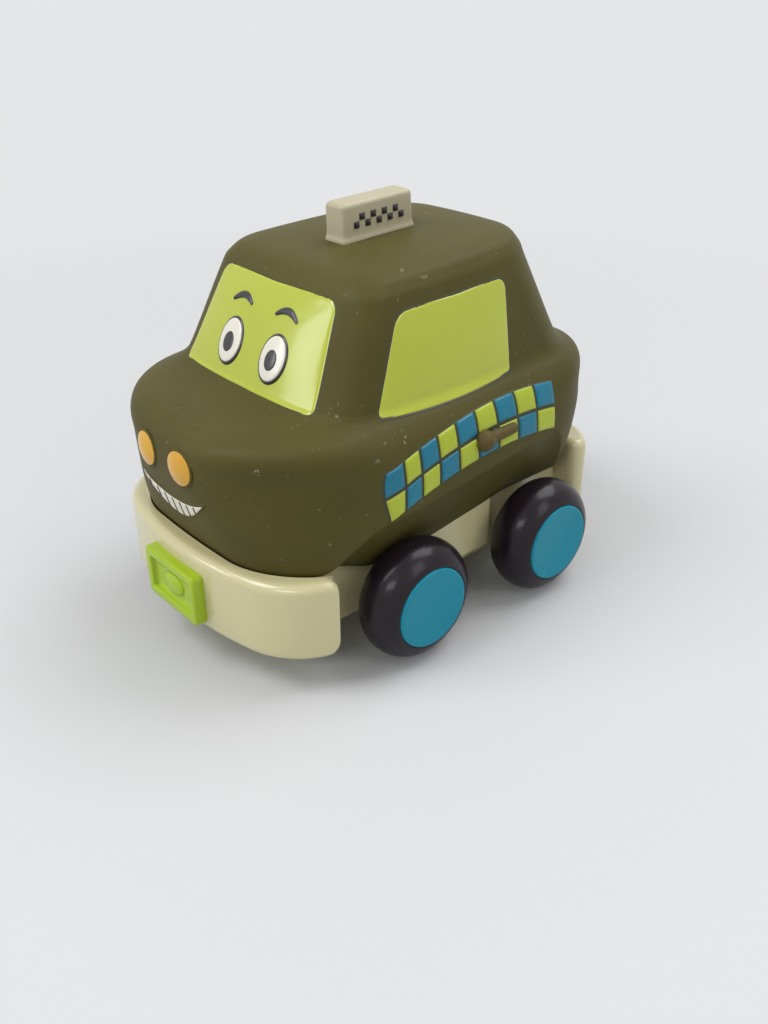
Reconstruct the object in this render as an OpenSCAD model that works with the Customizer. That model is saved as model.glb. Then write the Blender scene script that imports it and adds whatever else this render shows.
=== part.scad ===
// Pull-back toy taxi: a soft hollow body on a hard chassis, two rolling axles and a spring motor.
// Millimetres, +Z up, the nose looks along -Y, the wheels stand on z = 0, origin under the middle.

/* [Overall] */
// Length from the number plate to the rear bumper
overall_l = 122; // [118:0.5:126]
// Distance between the two axles
wheelbase = 45.4; // [44:0.2:47]
// Share of the overhang that lies in front of the front axle
front_share = 0.5744; // [0.56:0.001:0.59]
// Width over the wheel discs
track_w = 94; // [93:0.5:97]

/* [Body] */
// Width of the body between its corners
body_w = 77.6; // [76:0.2:79]
// Height of the body's lower rim above the ground
rim_z = 27.5; // [27:0.1:28.5]
// Height of the waist where the cabin starts
belt_z = 62; // [60:0.5:64]
// Height of the roof's edge
roof_z = 92.3; // [89:0.5:96]
// Width of the cabin at its foot
cabin_foot_w = 64; // [60:0.5:67]
// Width of the cabin below the roof
cabin_top_w = 56.8; // [54:0.5:59]
// Bonnet length from the nose to the foot of the windscreen
bonnet_l = 21.2; // [18:0.5:24]
// Shelf behind the cabin
boot_l = 9; // [7:0.5:11]
// How far the windscreen leans back from foot to top
screen_rake = 10.9; // [8:0.5:14]
// How far the back of the cabin leans forward from foot to top
back_rake = 10; // [7:0.5:13]
// Outward bow of the nose and the tail
end_bow = 2.9; // [2:0.1:3.2]
// Outward bow of the sides as a share of the half width
side_bow = 0.06; // [0.03:0.01:0.07]
// Rise of the roof towards the rear, mm per mm
roof_tilt = 0.04; // [0:0.01:0.06]
// Narrowing towards the rear as a share of the half width
body_taper = 0.04; // [0:0.01:0.06]
// Wall of the soft body
body_wall = 2; // [1.6:0.1:2.4]
// Height of the wheel arch's edge at its front end
arch_front_z = 39.5; // [38.5:0.5:41]
// Height of the wheel arch's edge at its rear end
arch_rear_z = 44.8; // [44:0.2:46]

/* [Inlays] */
// Depth of the pockets for the painted panels
pocket_d = 0.6; // [0.4:0.1:0.8]
// Clearance round a panel in its pocket
panel_fit = 0.12; // [0.08:0.01:0.2]
// Windscreen half width at its foot
screen_foot_hw = 25; // [24:0.5:26.5]
// Windscreen half width at its top
screen_top_hw = 21; // [19:0.5:21.5]
// Number of columns in a side's band of checks
check_n = 9; // [7:1:10]
// Gap between two checks
check_gap = 0.7; // [0.5:0.1:0.9]
// Diameter of a headlight
lamp_d = 9; // [8:0.2:9.6]
// Distance between the two headlights' centres
lamp_pitch = 13.8; // [12:0.2:15]
// Height of the headlights
lamp_z = 52; // [50:0.5:53]
// Length of the roof sign
sign_l = 22; // [19:0.5:24]
// Thickness of the roof sign
sign_t = 7; // [6:0.2:8]
// Height of the roof sign
sign_h = 9; // [8:0.2:11]

/* [Wheels] */
// Tyre diameter
tyre_d = 31; // [30:0.2:31.6]
// Diameter of the tyre's round section
tyre_section = 14.2; // [13.6:0.1:14.4]
// Diameter of the coloured wheel disc
disc_d = 21; // [19.5:0.2:21.4]
// Diameter of the barrel that carries the tyre
barrel_d = 15; // [14:0.2:16]
// Axle diameter
axle_d = 3; // [2.8:0.1:3.2]
// Clearance of the axle in its bearings, on the radius
axle_run = 0.05; // [0.02:0.01:0.08]
// Clearance of the axle in the wheel, on the radius
axle_press = 0.02; // [0.01:0.01:0.03]

/* [Chassis] */
// Height of the axles above the chassis underside
floor_drop = 6.5; // [6.3:0.1:6.9]
// Thickness of the floor
floor_t = 2; // [1.8:0.1:2.2]
// Thickness of the upright walls
wall_t = 2; // [1.6:0.1:2.4]
// Room between a tyre and the chassis beside it
wheel_room = 4.3; // [4:0.1:5]
// How far the sill stands out between the wheels
sill_out = 3; // [2:0.2:3.4]
// Width over the bumper's corners
bumper_w = 80.4; // [80:0.2:82]
// Height of the bumper's top edge above the rim
bumper_lap = 2; // [1.6:0.1:2.4]
// Height of the rear bumper's top edge above the rim
rear_lap = 7; // [6.4:0.1:7.2]
// Height of the sill's lower edge above the floor
sill_low = 3.6; // [3:0.1:4.2]
// Outer radius of the bumper's corners
bumper_r = 20; // [19:0.5:21]
// Radius of the bumper's long front curve
bumper_sweep = 100; // [90:2:110]
// Edge rounding of the bumper
bumper_edge = 2.2; // [1.8:0.1:2.4]
// How far the number plate stands out of the bumper
plate_proud = 2.5; // [2:0.1:3]
// Width of the number plate
plate_w = 22; // [20:0.5:24]
// Height of the number plate
plate_h = 13.6; // [12:0.2:14]

/* [Motor] */
// Gear module
gear_m = 0.5; // [0.48:0.01:0.52]
// Teeth of the pinions on the axle and on the idler
pinion_n = 12; // [11:1:12]
// Teeth of the idler's wheel
idler_n = 28; // [26:1:28]
// Teeth of the spring gear
drum_n = 32; // [30:1:32]
// Play between two gears, added to their distance
gear_play = 0.1; // [0.06:0.01:0.14]
// Width over the motor case
case_w = 24; // [22:0.5:26]
// Wall of the motor case
case_wall = 1.2; // [1:0.1:1.4]
// Thickness of the spring's steel strip
strip_t = 0.25; // [0.2:0.01:0.3]
// Number of coils in the spring
strip_coils = 8; // [6:1:9]

/* [Hidden] */
$fn = 48;

front_y = -overall_l / 2;
rear_y = overall_l / 2;
front_axle_y = front_y + (overall_l - wheelbase) * front_share;
rear_axle_y = front_axle_y + wheelbase;
axle_z = tyre_d / 2;
axle_r = axle_d / 2;
floor_z = axle_z - floor_drop;

// Body: levels from the rim to the roof, each with height, half width, front, rear and corner radii
body_hw = body_w / 2;
nose_y = front_y + plate_proud + end_bow - 0.4;
tail_y = rear_y - end_bow - 0.4;
foot_front = nose_y + bonnet_l;
foot_rear = tail_y - boot_l;
foot_hw = cabin_foot_w / 2;
top_hw = cabin_top_w / 2;
low_h = belt_z - rim_z;
cab_h = roof_z - belt_z;
LEVELS = [
    [rim_z, body_hw - 2.6, nose_y + 6.3, tail_y - 7.2, 21, 20],
    [rim_z + 0.1 * low_h, body_hw - 1.6, nose_y + 4.7, tail_y - 5.8, 23, 22],
    [rim_z + 0.3 * low_h, body_hw - 0.2, nose_y + 2.7, tail_y - 3, 28, 23],
    [rim_z + 0.54 * low_h, body_hw, nose_y + 0.6, tail_y - 0.6, 33, 24],
    [rim_z + 0.71 * low_h, body_hw - 0.6, nose_y, tail_y, 33, 24],
    [rim_z + 0.855 * low_h, body_hw - 1.9, nose_y + 0.9, tail_y - 0.3, 28, 21],
    [rim_z + 0.942 * low_h, body_hw - 3.9, nose_y + 5.2, tail_y - 2.2, 21, 18],
    [belt_z - 0.2, body_hw - 5.8, foot_front - 6.2, foot_rear + 2.6, 14, 15],
    [belt_z + 1.5, foot_hw, foot_front, foot_rear, 9, 13],
    [belt_z + 5, foot_hw - 0.6, foot_front + 0.27 * screen_rake, foot_rear - 0.24 * back_rake, 8, 13],
    [belt_z + 0.726 * cab_h, top_hw, foot_front + screen_rake, foot_rear - back_rake, 7, 14],
    [belt_z + 0.875 * cab_h, top_hw - 1.4,
     foot_front + 1.24 * screen_rake, foot_rear - 1.22 * back_rake, 6.5, 13],
    [roof_z - 1, top_hw - 4.8, foot_front + 1.65 * screen_rake, foot_rear - 1.56 * back_rake, 6, 11],
    [roof_z, top_hw - 14.4, foot_front + 2.6 * screen_rake, foot_rear - 2.5 * back_rake, 5, 8],
];
level_n = len(LEVELS) - 1;
shoulder_v = 5 / level_n;

// Cells of half a ring: front, front corner, side, rear corner, rear
cells_f = 4;
cells_c = 7;
cells_s = 12;
cells_r = 4;
cells = cells_f + 2 * cells_c + cells_s + cells_r;

// Level at share v of the way up, as a smooth curve through the table
function level(v) =
    let (s = min(max(v, 0), 1) * level_n, i = min(floor(s), level_n - 1), t = s - i,
         p0 = LEVELS[max(i - 1, 0)], p1 = LEVELS[i], p2 = LEVELS[i + 1], p3 = LEVELS[min(i + 2, level_n)],
         m1 = (p2 - p0) / 2, m2 = (p3 - p1) / 2)
    (2 * t * t * t - 3 * t * t + 1) * p1 + (t * t * t - 2 * t * t + t) * m1
    + (3 * t * t - 2 * t * t * t) * p2 + (t * t * t - t * t) * m2;

// Share of the way up at which the level reaches height z
function share_at(z, lo = 0, hi = 1, n = 26) =
    n == 0 ? (lo + hi) / 2
    : let (mid = (lo + hi) / 2)
    level(mid)[0] < z ? share_at(z, mid, hi, n - 1) : share_at(z, lo, mid, n - 1);

// Point of a rounded rectangle, c cells from its front middle
function plan(c, a, yf, yr, rf, rr) =
    let (k1 = cells_f, k2 = k1 + cells_c, k3 = k2 + cells_s, k4 = k3 + cells_c)
    c < k1 ? [(a - rf) * c / cells_f, yf]
    : c < k2 ? let (t = 90 * (c - k1) / cells_c - 90) [a - rf + rf * cos(t), yf + rf + rf * sin(t)]
    : c < k3 ? [a, yf + rf + (yr - rr - yf - rf) * (c - k2) / cells_s]
    : c < k4 ? let (t = 90 * (c - k3) / cells_c) [a - rr + rr * cos(t), yr - rr + rr * sin(t)]
    : [(a - rr) * (1 - (c - k4) / cells_r), yr];

// Point of the body's skin: c cells round from the nose (negative on the right), share v up
function skin(c, v) =
    let (q = level(v), p = plan(abs(c), q[1], q[2], q[3], q[4], q[5]),
         mid = (q[2] + q[3]) / 2, half = (q[3] - q[2]) / 2,
         t = (p.y - mid) / half, s = p.x / q[1],
         y = p.y + sign(t) * end_bow * (1 - s * s) * t * t * q[1] / body_hw,
         x = p.x * (1 + side_bow * (1 - t * t)) * (1 - body_taper * y / half),
         up = min(max((q[0] - belt_z) / cab_h, 0), 1))
    [(c < 0 ? -1 : 1) * x, y, q[0] + roof_tilt * y * up];

function unit(a) = a / norm(a);
function lerp(a, b, t) = a + (b - a) * t;
function smooth(t) = let (k = min(max(t, 0), 1)) k * k * (3 - 2 * k);

// Outward direction of the skin
function skin_normal(c, v) =
    unit(cross(skin(c + 0.2, v) - skin(c - 0.2, v), skin(c, min(v + 0.01, 1)) - skin(c, max(v - 0.01, 0))));

// Edge of the long wheel arch: low behind the bumpers, high along the side
arch_low_z = rim_z + 1.6;
arch_front_y = front_axle_y - 24.5;
arch_rear_y = rear_axle_y + 17.5;
arch_ramp = 15;
function arch_line(y) =
    lerp(arch_front_z, arch_rear_z, (y - front_axle_y + 10) / (wheelbase + 12));
function arch_edge(y) =
    arch_low_z + (arch_line(y) - arch_low_z) * smooth((y - arch_front_y) / arch_ramp)
    * smooth((arch_rear_y - y) / arch_ramp);

// Rim of the body: its plan follows the chassis along the sides
spine_hw = track_w / 2 - tyre_section - wheel_room;
rim_hw = spine_hw + sill_out;
lip_t = 2;
function rim(c, inset = 0, z = rim_z) =
    let (p = skin(c, 0), x = min(abs(p.x), rim_hw), mid = (LEVELS[0][2] + LEVELS[0][3]) / 2,
         half = (LEVELS[0][3] - LEVELS[0][2]) / 2)
    [(c < 0 ? -1 : 1) * x * (1 - inset / rim_hw), mid + (p.y - mid) * (1 - inset / half), z];

// Rows of the outer skin: under the arch, from its edge to the shoulder, and on to the roof
under_n = 3;
side_n = 7;
upper_n = 18;
function edge_share(c) = share_at(arch_edge(skin(c, 0.2).y));
function outer_row(r, c) =
    let (ve = edge_share(c))
    r <= under_n ? lerp(rim(c), skin(c, ve), r / under_n)
    : r <= under_n + side_n ? skin(c, lerp(ve, shoulder_v, (r - under_n) / side_n))
    : skin(c, lerp(shoulder_v, 1, (r - under_n - side_n) / upper_n));
row_n = under_n + side_n + upper_n;
ring_n = 2 * cells;
function ring_c(i) = i - cells;

module shell_solid() {
    outer = [for (r = [0:row_n]) [for (i = [0:ring_n - 1]) outer_row(r, ring_c(i))]];
    keep = [for (r = [under_n + 1:2:row_n]) r];
    inner = [for (r = keep) [for (i = [0:ring_n - 1])
        let (a = outer[r][(i + 1) % ring_n] - outer[r][(i + ring_n - 1) % ring_n],
             b = outer[min(r + 1, row_n)][i] - outer[r - 1][i])
        outer[r][i] - body_wall * unit(cross(a, b))]];
    lip = [[for (i = [0:ring_n - 1]) rim(ring_c(i), lip_in, rim_z)],
           [for (i = [0:ring_n - 1]) rim(ring_c(i), lip_in, rim_z + lip_t)],
           [for (i = [0:ring_n - 1]) rim(ring_c(i), lip_step, rim_z + lip_t)]];
    rings = concat([for (r = [row_n:-1:0]) outer[r]], lip, inner);
    mid = (LEVELS[level_n][2] + LEVELS[level_n][3]) / 2;
    crown = [[0, mid, skin(0, 1).z + roof_tilt * (mid - skin(0, 1).y) + 0.2],
             [0, mid, skin(0, 1).z + roof_tilt * (mid - skin(0, 1).y) - body_wall]];
    m = len(rings);
    points = concat([for (g = rings) each g], crown);
    walls = [for (r = [0:m - 2]) for (i = [0:ring_n - 1])
        let (a = r * ring_n + i, b = r * ring_n + (i + 1) % ring_n)
        each [[a, b, b + ring_n], [a, b + ring_n, a + ring_n]]];
    caps = [for (i = [0:ring_n - 1])
        let (j = (i + 1) % ring_n, k = (m - 1) * ring_n)
        each [[j, i, m * ring_n], [k + i, k + j, m * ring_n + 1]]];
    polyhedron(points, concat(walls, caps));
}
lip_in = 6;
lip_step = 2.6;

// A patch of skin as a solid between two distances from it
// Each row is a list of [cells, share]
module skin_patch(rows, low, high) {
    n = len(rows[0]);
    m = len(rows);
    top = [for (r = rows) for (q = r) skin(q[0], q[1]) + high * skin_normal(q[0], q[1])];
    bot = [for (r = rows) for (q = r) skin(q[0], q[1]) + low * skin_normal(q[0], q[1])];
    k = n * m;
    faces = [for (j = [0:m - 2]) for (i = [0:n - 2])
        let (a = j * n + i, b = a + 1, c = a + n + 1, d = a + n)
        each [[a, d, c], [a, c, b], [k + a, k + b, k + c], [k + a, k + c, k + d]]];
    ring = concat([for (i = [0:n - 1]) i], [for (j = [1:m - 1]) j * n + n - 1],
                  [for (i = [n - 2:-1:0]) (m - 1) * n + i], [for (j = [m - 2:-1:1]) j * n]);
    sides = [for (i = [0:len(ring) - 1])
        let (a = ring[i], b = ring[(i + 1) % len(ring)]) each [[a, b, k + b], [a, k + b, k + a]]];
    polyhedron(concat(top, bot), concat(faces, sides));
}

// Cells from the front middle for a place on the front, the rear or the side of a level
function cells_front(q, x) =
    let (flat = q[1] - q[4])
    sign(x) * (abs(x) <= flat ? cells_f * abs(x) / flat
               : cells_f + cells_c * (1 - acos(min((abs(x) - flat) / q[4], 1)) / 90));
function cells_rear(q, x) =
    let (flat = q[1] - q[5])
    cells - (x <= flat ? cells_r * x / flat
             : cells_r + cells_c * (1 - acos(min((x - flat) / q[5], 1)) / 90));
function cells_side(q, y) =
    cells_f + cells_c + cells_s * (y - q[2] - q[4]) / (q[3] - q[5] - q[2] - q[4]);

// How far a rounded corner draws an edge in, at distance d from the corner's end
function corner_in(d, r) = d >= r ? 0 : r - sqrt(max(r * r - (r - d) * (r - d), 0));

// Rows of a window: heights from foot to top, edges leaning from foot to top, rounded corners
row_steps = [0, 0.03, 0.1, 0.2, 0.36, 0.52, 0.68, 0.82, 0.92, 0.97, 1];
col_n = 8;
screen_foot_z = belt_z + 1.7;
screen_top_z = roof_z - 5.2;
screen_corner = 3;
back_foot_hw = screen_foot_hw - 3;
back_top_hw = screen_top_hw - 3;
function window_z(t, low, high, grow) = lerp(low - grow, high + grow, t);
function window_in(t, h, r) = max(corner_in((1 - t) * h, r), corner_in(t * h, r / 2));
function screen_rows(grow) =
    [for (t = row_steps)
        let (v = share_at(window_z(t, screen_foot_z, screen_top_z, grow)), q = level(v),
             h = screen_top_z - screen_foot_z,
             e = lerp(screen_foot_hw, screen_top_hw, t) + grow - window_in(t, h, screen_corner),
             c = cells_front(q, e))
        [for (i = [0:col_n]) [lerp(-c, c, i / col_n), v]]];
function back_rows(grow) =
    [for (t = row_steps)
        let (v = share_at(window_z(t, screen_foot_z, screen_top_z, grow)), q = level(v),
             h = screen_top_z - screen_foot_z,
             e = lerp(back_foot_hw, back_top_hw, t) + grow - window_in(t, h, screen_corner),
             c = cells - cells_rear(q, e))
        [for (i = [0:col_n]) let (k = lerp(-c, c, i / col_n)) [k < 0 ? cells + k : k - cells, v]]];

// Side window: its front edge leans with the windscreen, its lower edge bows down a little
glass_foot_z = belt_z + 0.2;
glass_top_z = roof_z - 8.3;
glass_front = foot_front + 11.5;
glass_rear = foot_rear - 28.2;
glass_lean = 9.3;
glass_bow = 1;
function glass_rows(grow) =
    [for (t = row_steps)
        let (z = window_z(t, glass_foot_z, glass_top_z, grow), q = level(share_at(z)),
             h = glass_top_z - glass_foot_z, d = window_in(t, h, screen_corner),
             ya = glass_front + glass_lean * t - grow + d, yb = glass_rear + t + grow - d,
             ca = cells_side(q, ya), cb = cells_side(q, yb))
        [for (i = [0:col_n])
            let (u = i / col_n)
            [lerp(ca, cb, u), share_at(z - 4 * glass_bow * u * (1 - u) * pow(1 - t, 2))]]];

// Band of checks: it rises with the wheel arch, both edges bow up, its columns widen to the rear
band_front = front_axle_y - 8.6;
band_rear = rear_axle_y + 3.4;
band_grow = 0.38;
band_even = 0.22;
band_h = 12.8;
band_bow = 13;
band_lift = 16;
function band_y(i) =
    let (t = i / check_n) lerp(band_front, band_rear, t - (band_grow - band_even * t) * t * (1 - t));
function band_share(y) = (y - band_front) / (band_rear - band_front);
function band_low(y) = let (t = band_share(y)) arch_edge(y) + 0.5 + band_lift * t * (1 - t);
function band_high(y) =
    let (t = band_share(y)) lerp(arch_front_z, arch_rear_z, t) + band_h + band_bow * t * (1 - t);
function check_rows(i, j, grow) =
    let (ya = band_y(i) + check_gap / 2 - grow, yb = band_y(i + 1) - check_gap / 2 + grow)
    [for (t = [0, 0.5, 1])
        [for (s = [0, 0.5, 1])
            let (y = lerp(ya, yb, s), lo = band_low(y), hi = band_high(y), mid = (lo + hi) / 2,
                 za = (j == 0 ? lo : mid + check_gap / 2) - grow,
                 zb = (j == 0 ? mid - check_gap / 2 : hi) + grow,
                 v = share_at(lerp(za, zb, t)))
            [cells_side(level(v), y), v]]];
module band(colour, grow, low, high) {
    for (i = [0:check_n - 1])
        for (j = [0, 1])
            if ((i + j) % 2 == colour)
                skin_patch(check_rows(i, j, grow), low, high);
}
module both_sides() {
    children();
    mirror([1, 0, 0]) children();
}

// Door handle: a ball with a bar that tapers to the rear, sunk a little in the side
handle_y = front_axle_y + 21.1;
handle_z = arch_front_z + 11.4;
handle_l = 12;
handle_r = 2.65;
handle_steps = 4;
function handle_spot(t) =
    let (v = share_at(handle_z), c = cells_side(level(v), handle_y + handle_l * t))
    skin(c, v) + 0.5 * skin_normal(c, v);
handle_neck = 0.64;
handle_tip = 0.5;
handle_room = 0.3;
module handle(grow = 0) {
    translate(handle_spot(0)) sphere(handle_r + grow, $fn = 24);
    for (i = [0:handle_steps - 1])
        hull()
            for (t = [i, i + 1] / handle_steps)
                translate(handle_spot(t))
                    sphere(handle_r * lerp(handle_neck, handle_tip, t) + grow, $fn = 16);
}

// Headlights: shallow domes let into the nose, looking along its normal
lamp_sink = 0.8;
lamp_rise = 1.3;
lamp_v = share_at(lamp_z);
lamp_c = cells_front(level(lamp_v), lamp_pitch / 2);
module on_nose(side) {
    p = skin(side * lamp_c, lamp_v);
    n = skin_normal(side * lamp_c, lamp_v);
    translate(p)
        rotate([0, acos(n.z), atan2(n.y, n.x)])
            children();
}
module lamp() {
    dome_r = (lamp_d * lamp_d / 4 + lamp_rise * lamp_rise) / (2 * lamp_rise);
    rotate_extrude()
        intersection() {
            translate([0, lamp_rise - dome_r]) circle(dome_r, $fn = 96);
            translate([0, -lamp_sink]) square([lamp_d / 2, lamp_sink + lamp_rise]);
        }
}

// Roof sign: a rounded block on a flared foot, let into the roof
sign_y = (foot_front + foot_rear) / 2 - 2.7;
sign_flare = 0.4;
sign_foot_h = 1.5;
sign_sink = 0.7;
sign_round = 1.2;
sign_z = roof_z + roof_tilt * sign_y + 0.1 - sign_sink;
module sign_slab(l, t, z0, z1, r) {
    hull()
        for (x = [-1, 1], y = [-1, 1], z = [z0 + r, z1 - r])
            translate([x * (t / 2 - r), y * (l / 2 - r), z]) sphere(r, $fn = 16);
}
module sign_foot(grow) {
    translate([-sign_t / 2 - sign_flare - grow, -sign_l / 2 - sign_flare - grow, 0])
        cube([sign_t + 2 * sign_flare + 2 * grow, sign_l + 2 * sign_flare + 2 * grow, sign_foot_h]);
}
module on_roof() {
    translate([0, sign_y, sign_z]) rotate([atan(roof_tilt), 0, 0]) children();
}

module body_shell() {
    color("#5c5433")
        difference() {
            union() {
                shell_solid();
                both_sides() handle();
            }
            skin_patch(screen_rows(panel_fit), -pocket_d, 2);
            skin_patch(back_rows(panel_fit), -pocket_d, 2);
            both_sides() skin_patch(glass_rows(panel_fit), -pocket_d, 2);
            for (side = [-1, 1])
                on_nose(side) translate([0, 0, -lamp_sink - panel_fit])
                    cylinder(r = lamp_d / 2 + panel_fit, h = 3, $fn = 32);
            on_roof() translate([0, 0, -panel_fit]) sign_foot(panel_fit);
        }
}

panel_top = 0.1;
panel_low = panel_fit - pocket_d;
module windscreen() {
    color("#b4be46") skin_patch(screen_rows(0), panel_low, panel_top);
}
module rear_window() {
    color("#b4be46") skin_patch(back_rows(0), panel_low, panel_top);
}
module side_window_left() {
    color("#b4be46") skin_patch(glass_rows(0), panel_low, panel_top);
}
module side_window_right() {
    color("#b4be46") mirror([1, 0, 0]) skin_patch(glass_rows(0), panel_low, panel_top);
}
check_low = 0.15;
check_high = 0.52;
module checks(colour) {
    both_sides()
        difference() {
            band(colour, 0, check_low, check_high);
            handle(handle_room);
        }
}
module checks_blue() {
    color("#2a7896") checks(1);
}
module checks_lime() {
    color("#a5b43c") checks(0);
}
module headlight_left() {
    color("#dca53c") on_nose(1) lamp();
}
module headlight_right() {
    color("#dca53c") on_nose(-1) lamp();
}
module roof_sign() {
    color("#b9b296")
        on_roof() {
            sign_slab(sign_l, sign_t, 0, sign_h + sign_sink, sign_round);
            sign_foot(0);
        }
}

// Bumper: one section swept round a long curve and two corners
bumper_hw = bumper_w / 2;
bumper_top = rim_z + bumper_lap;
rear_top = rim_z + rear_lap;
bumper_wall = 2.4;
bumper_flange = 3.6;
sweep_run = sqrt(pow(bumper_sweep - bumper_r, 2) - pow(bumper_hw - bumper_r, 2));
sweep_turn = asin((bumper_hw - bumper_r) / (bumper_sweep - bumper_r));
bumper_front = front_y + plate_proud;
well_front_room = 7.5;
well_rear_room = 2.8;
front_well = front_axle_y - tyre_d / 2 - well_front_room;
rear_well = rear_axle_y + tyre_d / 2 + well_rear_room;
module bumper_section(r, top_z, flange) {
    e = bumper_edge;
    top = [for (a = [0:15:90]) [r - e + e * cos(a), top_z - e + e * sin(a)]];
    low = [for (a = [-90:15:0]) [r - e + e * cos(a), floor_z + e + e * sin(a)]];
    step = flange > bumper_wall
        ? [[r - flange, top_z], [r - flange, top_z - 2], [r - bumper_wall, top_z - 2]]
        : [[r - bumper_wall, top_z]];
    polygon(concat(low, top, step, [[r - bumper_wall, floor_z]]));
}
// Swept with its middle at the origin, bulging along -Y; end_turn is where a corner stops
module bumper(end_turn, top_z, flange) {
    translate([0, bumper_sweep, 0])
        rotate([0, 0, -90 - sweep_turn])
            rotate_extrude(angle = 2 * sweep_turn, $fn = 180) bumper_section(bumper_sweep, top_z, flange);
    both_sides()
        translate([bumper_hw - bumper_r, bumper_sweep - sweep_run, 0])
            rotate([0, 0, sweep_turn - 90])
                rotate_extrude(angle = 90 - sweep_turn - end_turn, $fn = 96)
                    bumper_section(bumper_r, top_z, flange);
}
// Plan of the room behind a bumper, from its middle to the well wall
function bumper_plan(inset, depth) =
    let (r1 = bumper_sweep - inset, r2 = bumper_r - inset,
         cx = bumper_hw - bumper_r, cy = bumper_sweep - sweep_run,
         last = asin((cy - depth) / r2),
         long = [for (i = [0:6]) let (a = sweep_turn * i / 6) [r1 * sin(a), bumper_sweep - r1 * cos(a)]],
         turn = [for (i = [1:8])
             let (a = lerp(sweep_turn - 90, -last, i / 8)) [cx + r2 * cos(a), cy + r2 * sin(a)]],
         half = concat(long, turn))
    concat(half, [for (i = [len(half) - 1:-1:1]) [-half[i].x, half[i].y]]);
module well_room(depth) {
    polygon(bumper_plan(bumper_wall - 0.5, depth));
}
module well_wall(depth) {
    intersection() {
        well_room(depth);
        for (side = [0, 1])
            mirror([side, 0]) translate([spine_hw - wall_t, depth - wall_t]) square([bumper_hw, wall_t]);
    }
}
// Ledge that closes the room between a bumper's top and the body, clear of the body's skin
ledge_gap = 0.35;
ledge_t = 1.5;
ledge_low = 0.15;
ledge_in = 2.9;
rear_ledge_in = 1.7;
ledge_end = 0.4;
module body_plan(grow, z) {
    v = share_at(z);
    polygon([for (i = [0:ring_n - 1])
        let (c = ring_c(i), p = skin(c, v), n = skin_normal(c, v)) [p.x + grow * n.x, p.y + grow * n.y]]);
}
module ledge(end_y, depth, turn, inset, top_z) {
    translate([0, 0, top_z - ledge_low - ledge_t])
        linear_extrude(ledge_t)
            difference() {
                translate([0, end_y]) mirror([0, turn]) polygon(bumper_plan(inset, depth - ledge_end));
                body_plan(ledge_gap, top_z);
            }
}
// The well wall goes on up beside the body, to close the end of the taller rear bumper
module rear_well_top(depth) {
    translate([0, 0, rim_z - 1])
        linear_extrude(rear_top - ledge_low - ledge_t / 2 - rim_z + 1)
            difference() {
                translate([0, rear_y]) mirror([0, 1]) well_wall(depth);
                body_plan(ledge_gap, rear_top);
            }
}
function turn_at(depth) = asin((bumper_sweep - sweep_run - depth) / bumper_r);

sill_front = front_axle_y + 13;
sill_rear = rear_axle_y - 10.8;
sill_slope = 6;
deck_z = rim_z + lip_t;
deck_t = 2;
post_r = 3.2;
post_in = 10.5;
post_x = min(spine_hw - post_in, body_hw / 2 - 1.4);
post_front = lerp(front_axle_y, LEVELS[0][2], 0.5);
post_rear = lerp(rear_axle_y, LEVELS[0][3], 0.54);
screw_r = 1.2;
screw_gap = 0.3;
head_r = 2.5;
head_h = 1.6;
head_floor = floor_z + 3.4;
boss_r = 4;
disc_hw = track_w / 2;
tyre_x = disc_hw - tyre_section / 2;
core_in = tyre_x - tyre_section / 2 + 0.3;
boss_x = core_in - 0.5;
peg_r = 1.2;
peg_x = 7;
peg_fit = 0.05;
plate_z = floor_z + bumper_edge + plate_h / 2 + 0.2;
module posts() {
    for (x = [-post_x, post_x], y = [post_front, post_rear]) translate([x, y, 0]) children();
}
module across(y) {
    translate([0, y, axle_z]) rotate([0, 90, 0]) children();
}
module low_wall() {
    translate([spine_hw - wall_t, front_well - wall_t])
        square([wall_t, rear_well - front_well + 2 * wall_t]);
}
module sill_plan() {
    i = spine_hw - wall_t;
    s = spine_hw + sill_out;
    polygon([[i, sill_front - sill_slope], [spine_hw, sill_front - sill_slope], [s, sill_front],
             [s, sill_rear], [i, sill_rear]]);
}
module spine_wall() {
    o = spine_hw;
    i = spine_hw - wall_t;
    s = spine_hw + sill_out;
    polygon([[i, front_well - wall_t], [o, front_well - wall_t],
             [o, sill_front - sill_slope], [s, sill_front], [s, sill_rear], [o, sill_rear],
             [o, rear_well + wall_t], [i, rear_well + wall_t],
             [i, sill_rear - wall_t], [s - wall_t, sill_rear - wall_t], [s - wall_t, sill_front + 1],
             [i, sill_front - sill_slope + 1]]);
}
module floor_plan() {
    translate([0, bumper_front]) well_room(front_well - bumper_front);
    translate([0, rear_y]) mirror([0, 1]) well_room(rear_y - rear_well);
    translate([-spine_hw, front_well - 1]) square([2 * spine_hw, rear_well - front_well + 2]);
}
rib_front = LEVELS[0][2] + 1.5;
rib_rear = LEVELS[0][3] - 3.5;
rib_hw = 13;
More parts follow.
